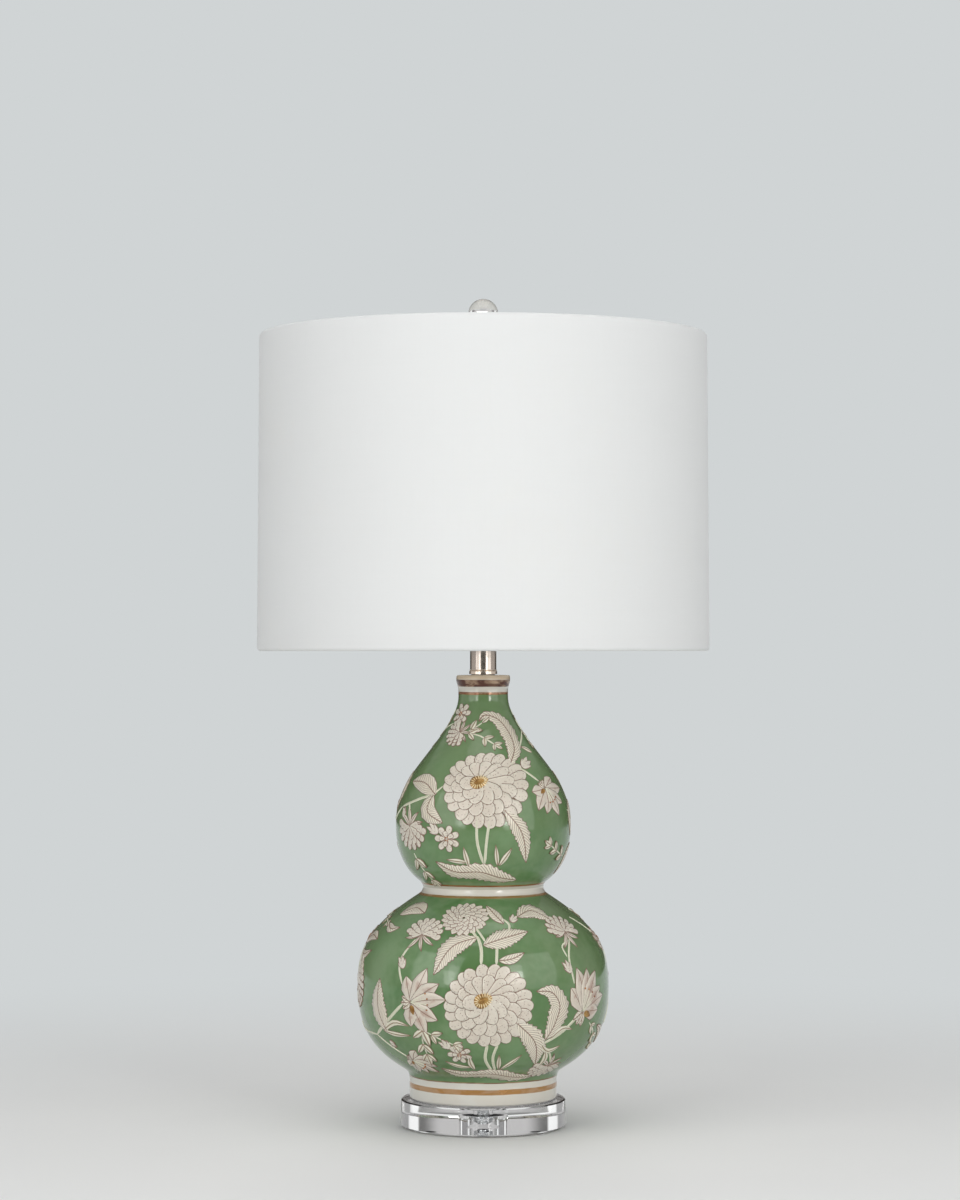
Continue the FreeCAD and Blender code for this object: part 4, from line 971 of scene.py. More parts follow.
# --- raised shapes
class Blade(Enum):
    """How the half width of a raised shape runs from its foot to its tip."""

    TONGUE = "tongue"
    SCALE = "scale"
    SPEAR = "spear"
    LANCE = "lance"
    ROD = "rod"
    DROP = "drop"

    def share(self, t: float) -> float:
        """Gives the half width's share.

        Args:
            t: from 0 at the foot to 1 at the tip.

        Returns:
            The share of the greatest half width.
        """
        if self in (Blade.TONGUE, Blade.SCALE):
            foot, widest, ease = (0.34, 0.7, 0.9) if self is Blade.TONGUE else (0.62, 0.5, 1.0)
            past = max(0.0, t - widest) / (1 - widest)
            return (foot + (1 - foot) * min(1.0, t / widest) ** ease) * math.sqrt(max(0.0, 1 - past ** 2))
        if self is Blade.SPEAR:
            return (0.3 + 0.7 * (t / 0.5) ** 0.8) if t < 0.5 else 1 - ((t - 0.5) / 0.5) ** 1.7
        if self is Blade.LANCE:
            return math.sin(math.pi * min(1.0, t) ** 0.85) ** 0.85 if 0 < t < 1 else 0.0
        if self is Blade.DROP:
            return math.sin(math.pi * t ** 0.7) ** 0.7 if 0 < t < 1 else 0.0
        return min(1.0, 0.35 + 6 * t, 0.35 + 6 * (1 - t))


@dataclass
class Relief:
    """Gathers raised shapes into one mesh with the attributes that their paint follows.

    least is the smallest half width, tooth the share of the width that a tooth takes, and root how far a shape
    reaches into the body, all but tooth in millimetres.
    """

    surface: GourdSurface
    seed: int
    least: float = 0.05
    tooth: float = 0.34
    root: float = 0.35
    points: list[np.ndarray] = field(default_factory=list)
    faces: list[tuple[int, ...]] = field(default_factory=list)
    works: list[int] = field(default_factory=list)
    rims: list[np.ndarray] = field(default_factory=list)
    blades: list[np.ndarray] = field(default_factory=list)
    tones: list[np.ndarray] = field(default_factory=list)
    count: int = 0
    chance: random.Random = field(init=False)

    def __post_init__(self) -> None:
        """Starts the seeded chance."""
        self.chance = random.Random(self.seed)

    @staticmethod
    def run(path: list[Point], stations: int) -> np.ndarray:
        """Draws a smooth line through a few points.

        Args:
            path: points in millimetres.
            stations: how many points the line gets, closer at its ends.

        Returns:
            The line's points.
        """
        knots = np.array(path, float)
        if len(knots) == 2:
            knots = np.array([knots[0], knots.mean(axis=0), knots[1]])
        marks = run_of(knots)
        slopes = np.gradient(knots, marks, axis=0)
        where = marks[-1] * 0.5 * (1 - np.cos(np.pi * np.linspace(0, 1, stations)))
        index = np.clip(np.searchsorted(marks, where, side="right") - 1, 0, len(marks) - 2)
        gap = (marks[index + 1] - marks[index])[:, None]
        t = ((where - marks[index]) / gap[:, 0])[:, None]
        return ((2 * t ** 3 - 3 * t ** 2 + 1) * knots[index] + (t ** 3 - 2 * t ** 2 + t) * gap * slopes[index]
                + (3 * t ** 2 - 2 * t ** 3) * knots[index + 1] + (t ** 3 - t ** 2) * gap * slopes[index + 1])

    def shape(self, anchor: Point, path: list[Point], half: float, blade: Blade, work: Brushwork, proud: float = 0.3,
              crown: float = 0.3, stations: int = 9, teeth: int = 0, tilt: float = 0.0) -> None:
        """Adds one raised shape along a line.

        Args:
            anchor: the place on the body that the line is measured from.
            path: the line's points in millimetres beside the anchor.
            half: the greatest half width.
            blade: how the width runs.
            work: what is painted on it.
            proud: how far the rim stands off the body.
            crown: how much higher the middle is.
            stations: how many rows of points the shape has.
            teeth: how many teeth a side has.
            tilt: how much higher its left edge stands than its middle.
        """
        line = self.run(path, stations)
        reach = run_of(line)
        heading = np.gradient(line, reach, axis=0)
        heading /= np.maximum(np.linalg.norm(heading, axis=1), 1e-9)[:, None]
        side = np.column_stack([-heading[:, 1], heading[:, 0]])
        share = reach / reach[-1]
        width = np.array([max(self.least, half * blade.share(float(t))) for t in share])
        taper = np.minimum(1.0, width / (0.5 * half + 1e-6))
        bite = 1 + self.tooth * (((share * teeth) % 1.0) - 0.5) if teeth else np.ones(stations)
        lanes = [(v, False) for v in ((-1.0, 0.0, 1.0) if work is Brushwork.STEM else (-1.0, -0.55, 0.0, 0.55, 1.0))]
        lanes += [(1.0, True), (-1.0, True)]
        flat, lift, rim, blades = [], [], [], []
        for v, sunk in lanes:
            edge = bite if abs(v) == 1 else np.ones(stations)
            flat.append(line + side * (v * width * edge)[:, None])
            blades.append(np.column_stack([reach, v * width, np.zeros(stations)]))
            if sunk:
                lift.append(np.full(stations, -self.root))
                rim.append(np.zeros(stations))
            else:
                lift.append(proud + (crown * (1 - v * v) + tilt * v) * taper)
                rim.append(np.minimum((1 - abs(v)) * width, reach[-1] - reach + 0.02))
        self.points.append(self.surface.wrap(anchor, np.vstack(flat), np.concatenate(lift)))
        self.rims.append(np.concatenate(rim))
        self.blades.append(np.vstack(blades))
        self.tones.append(np.full(len(lanes) * stations, self.chance.random()))
        faces = skin(len(lanes), stations, self.count)
        self.faces += faces
        self.works += [list(Brushwork).index(work)] * len(faces)
        self.count += len(lanes) * stations

    def build(self, name: str) -> bpy.types.Object:
        """Makes the mesh.

        Args:
            name: the piece's name.

        Returns:
            The piece.
        """
        mesh = Workshop.mesh(name, np.vstack(self.points).tolist(), self.faces)
        Workshop.mark(mesh, "FLOAT", rim=np.concatenate(self.rims), tone=np.concatenate(self.tones))
        Workshop.mark(mesh, "FLOAT_VECTOR", blade=np.vstack(self.blades).ravel())
        for work in Brushwork:
            mesh.materials.append(SLIP[work].make())
        mesh.polygons.foreach_set("material_index", self.works)
        Workshop.soften(mesh)
        return Workshop.add(name, mesh)


# --- shapes set on a surface
@dataclass
class Setting:
    """Places of small shapes, with the way each lies, its outward direction and its size."""

    places: list[Triple] = field(default_factory=list)
    aims: list[Triple] = field(default_factory=list)
    outs: list[Triple] = field(default_factory=list)
    sizes: list[float] = field(default_factory=list)

    def on_body(self, surface: GourdSurface, anchor: Point, flat: Point, aim: float, size: float,
                proud: float = 0.0) -> None:
        """Adds a place on the body.

        Args:
            surface: the body's surface.
            anchor: degrees round the front, and height.
            flat: millimetres beside the anchor.
            aim: the shape's heading in degrees, from the right round to the top.
            size: a factor on the shape's size.
            proud: millimetres off the body.
        """
        way = polar(1.0, aim)
        step = (flat[0] + way[0], flat[1] + way[1])
        spots = surface.wrap(anchor, np.array([flat, step, flat]), np.array([proud, proud, proud + 1.0]))
        self.places.append(tuple(spots[0]))
        self.aims.append(tuple(spots[1] - spots[0]))
        self.outs.append(tuple(spots[2] - spots[0]))
        self.sizes.append(size)


class SmallShapes:
    """Sets copies of one small shape on given places with a Geometry Nodes tree."""

    @staticmethod
    @cache
    def nodes() -> bpy.types.NodeTree:
        """Builds the tree, once.

        Returns:
            A tree with Places, Shape, Size, Spread, Seed and Finish that gives plain geometry.
        """
        tree = bpy.data.node_groups.new("shapes_on_places", "GeometryNodeTree")
        for label, kind, value in (("Places", "Geometry", None), ("Shape", "Object", None), ("Size", "Float", 1.0),
                                   ("Spread", "Float", 0.08), ("Seed", "Int", 3), ("Finish", "Material", None)):
            socket = tree.interface.new_socket(label, in_out="INPUT", socket_type=f"NodeSocket{kind}")
            if value is not None:
                socket.default_value = value
        tree.interface.new_socket("Shapes", in_out="OUTPUT", socket_type="NodeSocketGeometry")
        graph = Graph(tree)
        given = graph.node("NodeGroupInput").outputs
        shape = graph.fill(graph.node("GeometryNodeObjectInfo", transform_space="ORIGINAL"), Object=given["Shape"])
        reads = {}
        for name, kind in (("out", "FLOAT_VECTOR"), ("aim", "FLOAT_VECTOR"), ("size", "FLOAT")):
            read = graph.node("GeometryNodeInputNamedAttribute", data_type=kind)
            reads[name] = graph.fill(read, Name=name).outputs[0]
        turn: Socket | None = None
        for axis, pivot, name in (("Z", "AUTO", "out"), ("X", "Z", "aim")):
            align = graph.node("FunctionNodeAlignRotationToVector", axis=axis, pivot_axis=pivot)
            graph.fill(align, Vector=reads[name])
            if turn is not None:
                graph.fill(align, Rotation=turn)
            turn = align.outputs[0]
        uneven = graph.fill(graph.node("FunctionNodeRandomValue", data_type="FLOAT"), Seed=given["Seed"])
        low, high = [socket for socket in uneven.inputs if socket.type == "VALUE" and socket.enabled][:2]
        graph.put(low, graph.less(1.0, given["Spread"]))
        graph.put(high, graph.plus(1.0, given["Spread"]))
        chance = next(socket for socket in uneven.outputs if socket.type == "VALUE" and socket.enabled)
        size = graph.times(graph.times(reads["size"], given["Size"]), chance)
        copies = graph.fill(graph.node("GeometryNodeInstanceOnPoints"), Points=given["Places"],
                            Instance=shape.outputs["Geometry"], Rotation=turn, Scale=size)
        real = graph.fill(graph.node("GeometryNodeRealizeInstances"), Geometry=copies.outputs[0])
        paint = graph.fill(graph.node("GeometryNodeSetMaterial"), Geometry=real.outputs[0], Material=given["Finish"])
        graph.fill(graph.node("NodeGroupOutput"), Shapes=paint.outputs[0])
        return tree

    @classmethod
    def set_down(cls, name: str, setting: Setting, shape: bpy.types.Object, finish: Finish,
                 spread: float = 0.08, seed: int = 3) -> bpy.types.Object:
        """Makes one plain piece of all the copies.

        Args:
            name: the piece's name.
            setting: where the copies go.
            shape: what is copied, along +X and with +Z outwards.
            finish: its finish.
            spread: how much the sizes differ.
            seed: the seed of the sizes.

        Returns:
            The piece.
        """
        guide = Workshop.mesh(f"{name}_places", setting.places)
        Workshop.mark(guide, "FLOAT_VECTOR", aim=np.array(setting.aims).ravel(), out=np.array(setting.outs).ravel())
        Workshop.mark(guide, "FLOAT", size=setting.sizes)
        holder = Workshop.stand(guide.name, guide)
        modifier = holder.modifiers.new("shapes", "NODES")
        modifier.node_group = cls.nodes()
        sockets = {item.name: item.identifier for item in modifier.node_group.interface.items_tree}
        values = {"Shape": shape, "Size": 1.0, "Spread": spread, "Seed": seed, "Finish": finish.make()}
        for label, value in values.items():
            modifier[sockets[label]] = value
        bpy.context.view_layer.update()
        ready = holder.evaluated_get(bpy.context.evaluated_depsgraph_get())
        mesh = bpy.data.meshes.new_from_object(ready)
        mesh.name = name
        holder.modifiers.remove(modifier)
        bpy.data.objects.remove(holder)
        bpy.data.objects.remove(shape)
        Workshop.soften(mesh)
        return Workshop.stand(name, mesh)

    @staticmethod
    def bead(length: float, width: float, height: float, rings: int = 5, sides: int = 8) -> bpy.types.Object:
        """Makes a small rounded bead to copy.

        Args:
            length: millimetres along +X.
            width: millimetres across.
            height: millimetres outwards.
            rings: rows of points between the poles.
            sides: points in a row.

        Returns:
            The bead, centred on the origin.
        """
        points = [(-length / 2, 0.0, 0.0)]
        for ring in range(1, rings + 1):
            along, around = polar(0.5, 180 * ring / (rings + 1))
            for side in range(sides):
                across, out = polar(around, 360 * side / sides)
                points.append((-length * along, width * across, height * out))
        points.append((length / 2, 0.0, 0.0))
        faces: list[tuple[int, ...]] = []
        last = len(points) - 1
        for side in range(sides):
            after = (side + 1) % sides
            faces.append((0, 1 + after, 1 + side))
            for ring in range(rings - 1):
                a, b = 1 + ring * sides, 1 + (ring + 1) * sides
                faces.append((a + side, a + after, b + after, b + side))
            faces.append((last, last - sides + side, last - sides + after))
        points = [tuple(MM * part for part in point) for point in points]
        return Workshop.add("bead", Workshop.mesh("bead", points, faces))

    @staticmethod
    def leaflet(length: float, half: float, thick: float) -> bpy.types.Object:
        """Makes a small domed leaflet to copy, with the attributes that its paint follows.

        Args:
            length: millimetres along +X from its foot.
            half: its greatest half width.
            thick: how high its middle stands.

        Returns:
            The leaflet.
        """
        shares = (0.0, 0.12, 0.35, 0.62, 0.86, 1.0)
        lanes = ((-1.0, 0.55), (0.0, 1.0), (1.0, 0.55), (1.0, -0.6), (-1.0, -0.6))
        points, rims, blades = [], [], []
        for v, lift in lanes:
            for t in shares:
                width = max(0.12, half * Blade.LANCE.share(t))
                points.append((t * length * MM, v * width * MM, lift * thick * MM))
                rims.append((1 - abs(v)) * width)
                blades += [t * length, v * width, 0.0]
        mesh = Workshop.mesh("leaflet", points, skin(len(lanes), len(shares)))
        Workshop.mark(mesh, "FLOAT", rim=rims, tone=[0.5] * len(points))
        Workshop.mark(mesh, "FLOAT_VECTOR", blade=blades)
        return Workshop.add("leaflet", mesh)


# --- the ornament
class Bloom(Enum):
    """The kinds of flower."""

    MUM = "mum"
    LILY = "lily"
    ASTER = "aster"
    BLOSSOM = "blossom"
    BUD = "bud"


@dataclass(frozen=True)
class Flower:
    """A flower on the body.

    at is degrees round the front and height, aim its heading in degrees, and size its reach in millimetres.
    """

    bloom: Bloom
    at: Point
    size: float
    aim: float = 90.0
    tall: float = 0.0
    shift: Point = (0.0, 0.0)
    fan: float = 1.0


@dataclass(frozen=True)
class Leaf:
    """A leaf along places on the body, from its foot to its tip."""

    path: tuple[Point, ...]
    half: float
    teeth: int = 0


@dataclass(frozen=True)
class Stem:
    """A stem along places on the body."""

    path: tuple[Point, ...]
    half: float = 0.95


@dataclass(frozen=True)
class Sprig:
    """A thin stem with pairs of leaflets."""

    path: tuple[Point, ...]
    pairs: int = 3
    size: float = 1.0
    spread: float = 38.0


@dataclass(frozen=True)
class PetalRow:
    """One row of petals: its share of the flower's reach, how many, how proud they stand and how long they are."""

    share: float
    count: int
    proud: float
    length: float


# A mum with a reach over LARGE_MUM millimetres has long upper petals and a gold eye.
LARGE_MUM = 25.0
LARGE_ROWS = (PetalRow(1.0, 22, 0.3, 15.0), PetalRow(0.76, 15, 0.75, 16.0), PetalRow(0.52, 10, 1.2, 20.0))
SMALL_ROWS = (PetalRow(1.0, 19, 0.3, 9.0), PetalRow(0.76, 15, 0.6, 9.0), PetalRow(0.52, 10, 0.9, 8.5),
              PetalRow(0.28, 6, 1.2, 7.0))
# Sine of the lowest bearing at which a large mum's petals are the long upper ones, and their share of the reach.
UPWARD, UPPER_REACH = -0.12, 0.92
# The eye's tilt in degrees, its two layers as length, half width and rise, and its ring of ribs.
EYE_TILT = 22.0
EYE_LAYERS = ((15.6, 6.0, 1.4), (9.0, 1.5, 1.9))
EYE_RIBS, EYE_RING = 18, (5.9, 4.3)
# A lily's petals as bearing, share of its size and rise, then the bearings of its calyx, throat and stamens.
LILY_FAN = ((-100, 0.62, 0.3), (96, 0.66, 0.3), (-66, 0.92, 0.36), (62, 0.98, 0.36), (-34, 0.86, 0.44),
            (30, 0.94, 0.44), (-2, 1.0, 0.52))
CALYX, THROAT, STAMENS = (-150, 180, 150), -82, (-24, -8, 9, 25)
# An aster's rays, then its rows of scales as count, reach and rise.
ASTER_RAYS = 9
ASTER_SCALES = ((9, 0.98, 0.36), (7, 0.76, 0.5), (5, 0.54, 0.64))
# A bud's sepals and petals as bearing, share of its length and share of its width.
BUD_PARTS = ((-30, 0.7, 0.14), (30, 0.7, 0.14), (-10, 0.95, 0.2), (10, 1.0, 0.2))
# Length, width or half width, and height of the small shapes, and the half width over which a leaf has ribs.
RIB_SIZE, BEAD_SIZE, LEAFLET_SIZE = (4.0, 0.9, 1.0), (1.5, 1.2, 1.1), (9.8, 2.4, 0.6)
LARGE_LEAF = 3.0
CENTRE: Point = (0.0, 0.0)


@dataclass
class Ornament:
    """Flowers, leaves, stems and sprigs of one bulb of the body, drawn twice round it."""

    name: str
    surface: GourdSurface
    flowers: tuple[Flower, ...]
    leaves: tuple[Leaf, ...]
    stems: tuple[Stem, ...]
    sprigs: tuple[Sprig, ...]
    seed: int = 11
    ribs: Setting = field(default_factory=Setting)
    leaflets: Setting = field(default_factory=Setting)
    beads: Setting = field(default_factory=Setting)
    relief: Relief = field(init=False)

    def __post_init__(self) -> None:
        """Starts the relief."""
        self.relief = Relief(self.surface, self.seed)

    def build(self) -> None:
        """Makes the ornament's pieces and puts them on the base."""
        draw = {Bloom.MUM: self.draw_mum, Bloom.LILY: self.draw_lily, Bloom.ASTER: self.draw_aster,
                Bloom.BLOSSOM: self.draw_blossom, Bloom.BUD: self.draw_bud}
        for turn in (0.0, 180.0):
            for stem in self.stems:
                self.lay(stem.path, turn, stem.half, Blade.ROD, Brushwork.STEM, proud=0.22, crown=0.3, stations=14)
            for sprig in self.sprigs:
                self.draw_sprig(sprig, turn)
            for leaf in self.leaves:
                stations = 4 * leaf.teeth + 1 if leaf.teeth else 11
                work = Brushwork.LEAF if leaf.half > LARGE_LEAF else Brushwork.SMALL
                self.lay(leaf.path, turn, leaf.half, Blade.LANCE, work, proud=0.34, crown=0.34, stations=stations,
                         teeth=leaf.teeth)
            for flower in self.flowers:
                draw[flower.bloom](flower, (flower.at[0] + turn, flower.at[1]))
        small = SLIP[Brushwork.SMALL]
        pieces = (
            self.relief.build(f"{self.name}_slip_flowers"),
            SmallShapes.set_down(f"{self.name}_gold_ribs", self.ribs, SmallShapes.bead(*RIB_SIZE), PALE_GOLD),
            SmallShapes.set_down(f"{self.name}_stamen_beads", self.beads, SmallShapes.bead(*BEAD_SIZE), AMBER),
            SmallShapes.set_down(f"{self.name}_leaflets", self.leaflets, SmallShapes.leaflet(*LEAFLET_SIZE), small,
                                 spread=0.18, seed=5),
        )
        for piece in pieces:
            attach(piece, "base")
            LOG.info("%s: %d faces", piece.name, len(piece.data.polygons))

    def lay(self, path: tuple[Point, ...], turn: float, half: float, blade: Blade, work: Brushwork, proud: float,
            crown: float, stations: int, teeth: int = 0) -> None:
        """Lays a shape through places on the body.

        Args:
            path: degrees round the front and heights.
            turn: degrees that the whole path is turned.
            half: the greatest half width.
            blade: how the width runs.
            work: what is painted on it.
            proud: how far the rim stands off the body.
            crown: how much higher the middle is.
            stations: rows of points.
            teeth: teeth on a side.
        """
        anchor = path[0]
        flat = [self.surface.flat(anchor, point) for point in path]
        self.relief.shape((anchor[0] + turn, anchor[1]), flat, half, blade, work, proud, crown, stations, teeth)

    def petal(self, at: Point, foot: Point, heading: float, length: float, half: float, blade: Blade,
              proud: float = 0.4, work: Brushwork = Brushwork.PETAL, curl: float = 0.0, crown: float = 0.22,
              tilt: float = 0.15) -> None:
        """Adds one petal.

        Args:
            at: the flower's place on the body.
            foot: the petal's foot beside it, in millimetres.
            heading: degrees from the right round to the top.
            length: millimetres.
            half: the greatest half width.
            blade: how the width runs.
            proud: how far the rim stands off the body.
            work: what is painted on it.
            curl: degrees that the petal turns along its length.
            crown: how much higher the middle is.
            tilt: how much higher its left edge stands, so that it laps over the next petal.
        """
        path, place = [foot], foot
        for step in range(3):
            way = polar(length / 3, heading + curl * (step - 1) / 2)
            place = (place[0] + way[0], place[1] + way[1])
            path.append(place)
        self.relief.shape(at, path, half, blade, work, proud, crown, 9, tilt=tilt)

    def draw_mum(self, flower: Flower, at: Point) -> None:
        """Draws the large many-rowed flower.

        Args:
            flower: its sizes.
            at: its eye's place on the body.
        """
        chance = self.relief.chance
        large = flower.size > LARGE_MUM
        for number, row in enumerate(LARGE_ROWS if large else SMALL_ROWS):
            around = math.pi * (flower.size + flower.tall) * row.share / row.count
            for index in range(row.count):
                turn = 2 * math.pi * (index + 0.5 * (number % 2)) / row.count + chance.uniform(-0.05, 0.05)
                tip = (flower.shift[0] * row.share + flower.size * row.share * math.cos(turn),
                       flower.shift[1] * row.share + flower.tall * row.share * math.sin(turn))
                reach = math.hypot(*tip)
                upward = large and tip[1] / reach > UPWARD
                if upward and number == 2:
                    continue
                span, half = min(reach - 1.0, row.length), around * 0.58
                blade = Blade.SCALE if large else Blade.DROP
                if upward and number == 1:
                    tip, reach = (tip[0] * UPPER_REACH, tip[1] * UPPER_REACH), reach * UPPER_REACH
                    span, half, blade = reach - 4.0, around * 0.5, Blade.TONGUE
                foot = (tip[0] * (1 - span / reach), tip[1] * (1 - span / reach))
                heading = math.degrees(math.atan2(tip[1], tip[0])) + chance.uniform(-4, 4)
                self.petal(at, foot, heading, span, half, blade, proud=row.proud, curl=chance.uniform(-6, 6),
                           crown=0.15, tilt=0.14)
        if not large:
            return
        for length, half, proud in EYE_LAYERS:
            self.petal(at, polar(-0.5 * length, EYE_TILT), EYE_TILT, length, half, Blade.DROP, proud=proud,
                       work=Brushwork.EYE, crown=0.4, tilt=0.0)
        for index in range(EYE_RIBS):
            way = polar(1.0, 360 * index / EYE_RIBS)
            u, v = EYE_RING[0] * way[0], EYE_RING[1] * way[1]
            right, up = polar(u, EYE_TILT), polar(v, EYE_TILT + 90)
            aim = math.degrees(math.atan2(v * 2.2, u)) + EYE_TILT
            self.ribs.on_body(self.surface, at, (right[0] + up[0], right[1] + up[1]), aim, size=1.0, proud=1.6)

    def draw_lily(self, flower: Flower, at: Point) -> None:
        """Draws a lily seen from the side: pointed petals in a fan, a calyx and stamens.

        Args:
            flower: its sizes.
            at: its throat's place on the body.
        """
        chance = self.relief.chance
        for offset, share, proud in LILY_FAN:
            heading = flower.aim + offset * flower.fan + chance.uniform(-5, 5)
            self.petal(at, polar(1.5, heading), heading, flower.size * share, flower.size * 0.225, Blade.SPEAR,
                       proud=proud, work=Brushwork.RAY, curl=chance.uniform(-16, 16))
        for offset in CALYX:
            self.petal(at, CENTRE, flower.aim + offset, flower.size * 0.34, flower.size * 0.1, Blade.LANCE,
                       proud=0.3, work=Brushwork.LEAF)
        throat = flower.aim + THROAT
        self.petal(at, polar(2.4, throat), throat, flower.size * 0.26, flower.size * 0.075, Blade.DROP, proud=0.75,
                   work=Brushwork.EYE)
        for offset in STAMENS:
            bearing, reach = flower.aim + offset, flower.size * 0.52
            self.petal(at, CENTRE, bearing, reach, 0.35, Blade.ROD, proud=0.7, work=Brushwork.STEM)
            self.beads.on_body(self.surface, at, polar(reach, bearing), bearing, size=1.0, proud=1.1)

    def draw_aster(self, flower: Flower, at: Point) -> None:
        """Draws a nodding flower: a domed cap of scales with thin rays under it.

        Args:
            flower: its sizes.
            at: its heart's place on the body.
        """
        chance = self.relief.chance
        for index in range(ASTER_RAYS):
            offset = -152 + 304 * index / (ASTER_RAYS - 1)
            length = flower.size * chance.uniform(0.72, 1.0)
            self.petal(at, CENTRE, flower.aim + offset, length, flower.size * 0.105, Blade.SPEAR, proud=0.3,
                       work=Brushwork.RAY, curl=-offset * 0.12)
        for row, (count, reach, proud) in enumerate(ASTER_SCALES):
            for index in range(count):
                bearing = flower.aim - 88 + 176 * (index + 0.25 * row) / (count - 1)
                span = flower.size * (0.56 - 0.03 * row)
                self.petal(at, polar(flower.size * reach - span, bearing), bearing, span, flower.size * 0.16,
                           Blade.TONGUE, proud=proud)

    def draw_blossom(self, flower: Flower, at: Point) -> None:
        """Draws a small open flower of two rows of petals and a beaded heart.

        Args:
            flower: its sizes.
            at: its heart's place on the body.
        """
        for index in range(7):
            self.petal(at, CENTRE, flower.aim + 360 * index / 7, flower.size, flower.size * 0.27, Blade.TONGUE,
                       proud=0.38)
        for index in range(5):
            self.petal(at, CENTRE, flower.aim + 30 + 72 * index, flower.size * 0.6, flower.size * 0.21, Blade.TONGUE,
                       proud=0.7)
        for turn in range(0, 360, 60):
            self.beads.on_body(self.surface, at, polar(1.5, turn), turn, size=0.8, proud=1.1)

    def draw_bud(self, flower: Flower, at: Point) -> None:
        """Draws a closed bud with its two sepals.

        Args:
            flower: its sizes.
            at: its foot's place on the body.
        """
        for offset, share, half in BUD_PARTS:
            self.petal(at, CENTRE, flower.aim + offset, flower.size * share, flower.size * half, Blade.DROP,
                       proud=0.3 + 0.1 * share)

    def draw_sprig(self, sprig: Sprig, turn: float) -> None:
        """Draws a thin stem and notes where its leaflets go.

        Args:
            sprig: its path and sizes.
            turn: degrees that it is turned round the body.
        """
        self.lay(sprig.path, turn, 0.62, Blade.ROD, Brushwork.STEM, proud=0.18, crown=0.24, stations=9)
        anchor, points = sprig.path[0], 41
        line = Relief.run([self.surface.flat(anchor, point) for point in sprig.path], points)
        marks = []
        for pair in range(sprig.pairs):
            share = 0.3 + 0.6 * pair / max(1, sprig.pairs - 1)
            index, size = int(share * (points - 2)), sprig.size * (1.0 - 0.1 * pair)
            marks += [(index, line[index + 1] - line[index], side * sprig.spread, size) for side in (-1, 1)]
        marks.append((-1, line[-1] - line[-3], 0.0, sprig.size * 0.9))
        for index, way, offset, size in marks:
            aim = math.degrees(math.atan2(way[1], way[0])) + offset
            self.leaflets.on_body(self.surface, (anchor[0] + turn, anchor[1]), tuple(line[index]), aim, size,
                                  proud=0.12)


def upper_ornament(surface: GourdSurface) -> Ornament:
    """Lays out the upper bulb's ornament.

    Args:
        surface: the body's surface.

    Returns:
        The ornament, not yet built.
    """
    return Ornament("upper", surface, (
        Flower(Bloom.ASTER, (-55, 255.5), 21.0, -100.0),
        Flower(Bloom.BLOSSOM, (-24, 246.3), 11.5, 75.0),
        Flower(Bloom.BUD, (-30, 251), 13.0, 148.0),
        Flower(Bloom.BUD, (-64, 262), 10.0, 100.0),
        Flower(Bloom.BLOSSOM, (-48, 348), 10.0, 60.0),
        Flower(Bloom.ASTER, (-36, 333), 15.0, -160.0),
        Flower(Bloom.BUD, (36, 304), 15.0, 38.0),
        Flower(Bloom.LILY, (51, 287), 25.0, -66.0),
        Flower(Bloom.MUM, (-3, 292.5), 37.6, 90.0, 34.8, (5.9, -5.2)),
    ), (
        Leaf(((14, 270), (25, 252), (31, 226)), 7.2, 13),
        Leaf(((28, 211.6), (14, 214), (-2, 219), (-20, 219), (-35, 227)), 8.2, 15),
        Leaf(((25, 307), (37, 321), (38, 334), (22, 345), (2, 347), (-8, 342)), 8.2, 16),
        Leaf(((-35, 282), (-48, 291), (-68, 292)), 9.0),
        Leaf(((-37, 282), (-40, 270), (-27, 259)), 8.0),
        Leaf(((62, 316), (55, 319), (47, 321)), 2.6),
        Leaf(((-10, 223), (-13, 240)), 2.2),
        Leaf(((-11, 227), (-26, 229)), 2.2),
        Leaf(((10, 224), (8, 242)), 1.9),
        Leaf(((11, 224), (19, 239)), 2.3),
        Leaf(((88, 240), (80, 228), (76, 214)), 6.0, 9),
        Leaf(((-88, 300), (-80, 285), (-84, 268)), 6.0, 9),
        Leaf(((92, 276), (80, 262), (82, 246)), 5.6),
    ), (
        Stem(((-4, 264), (-4, 245), (0, 226)), 1.15),
        Stem(((4, 262), (2, 243), (1, 226)), 1.15),
        Stem(((-69, 271), (-50, 278), (-36, 284), (-31, 289)), 1.15),
        Stem(((-60, 275), (-57, 266), (-55, 256)), 1.1),
        Stem(((24, 308), (36, 302), (47, 293))),
        Stem(((29, 308), (44, 320), (73, 333))),
        Stem(((-30, 333), (-40, 332))),
        Stem(((-69, 271), (-88, 260), (-104, 268))),
        Stem(((73, 333), (95, 336), (120, 340)), 0.8),
    ), (
        Sprig(((-54, 233), (-51, 222), (-47, 210)), 3, 1.15),
        Sprig(((-31, 333), (-8, 331), (14, 323)), 3, 1.0),
        Sprig(((-22, 334), (-10, 338), (-2, 341)), 1, 1.0),
        Sprig(((72, 229), (60, 234), (50, 240)), 3, 1.15),
        Sprig(((96, 352), (86, 340), (78, 324)), 3, 0.8),
    ))


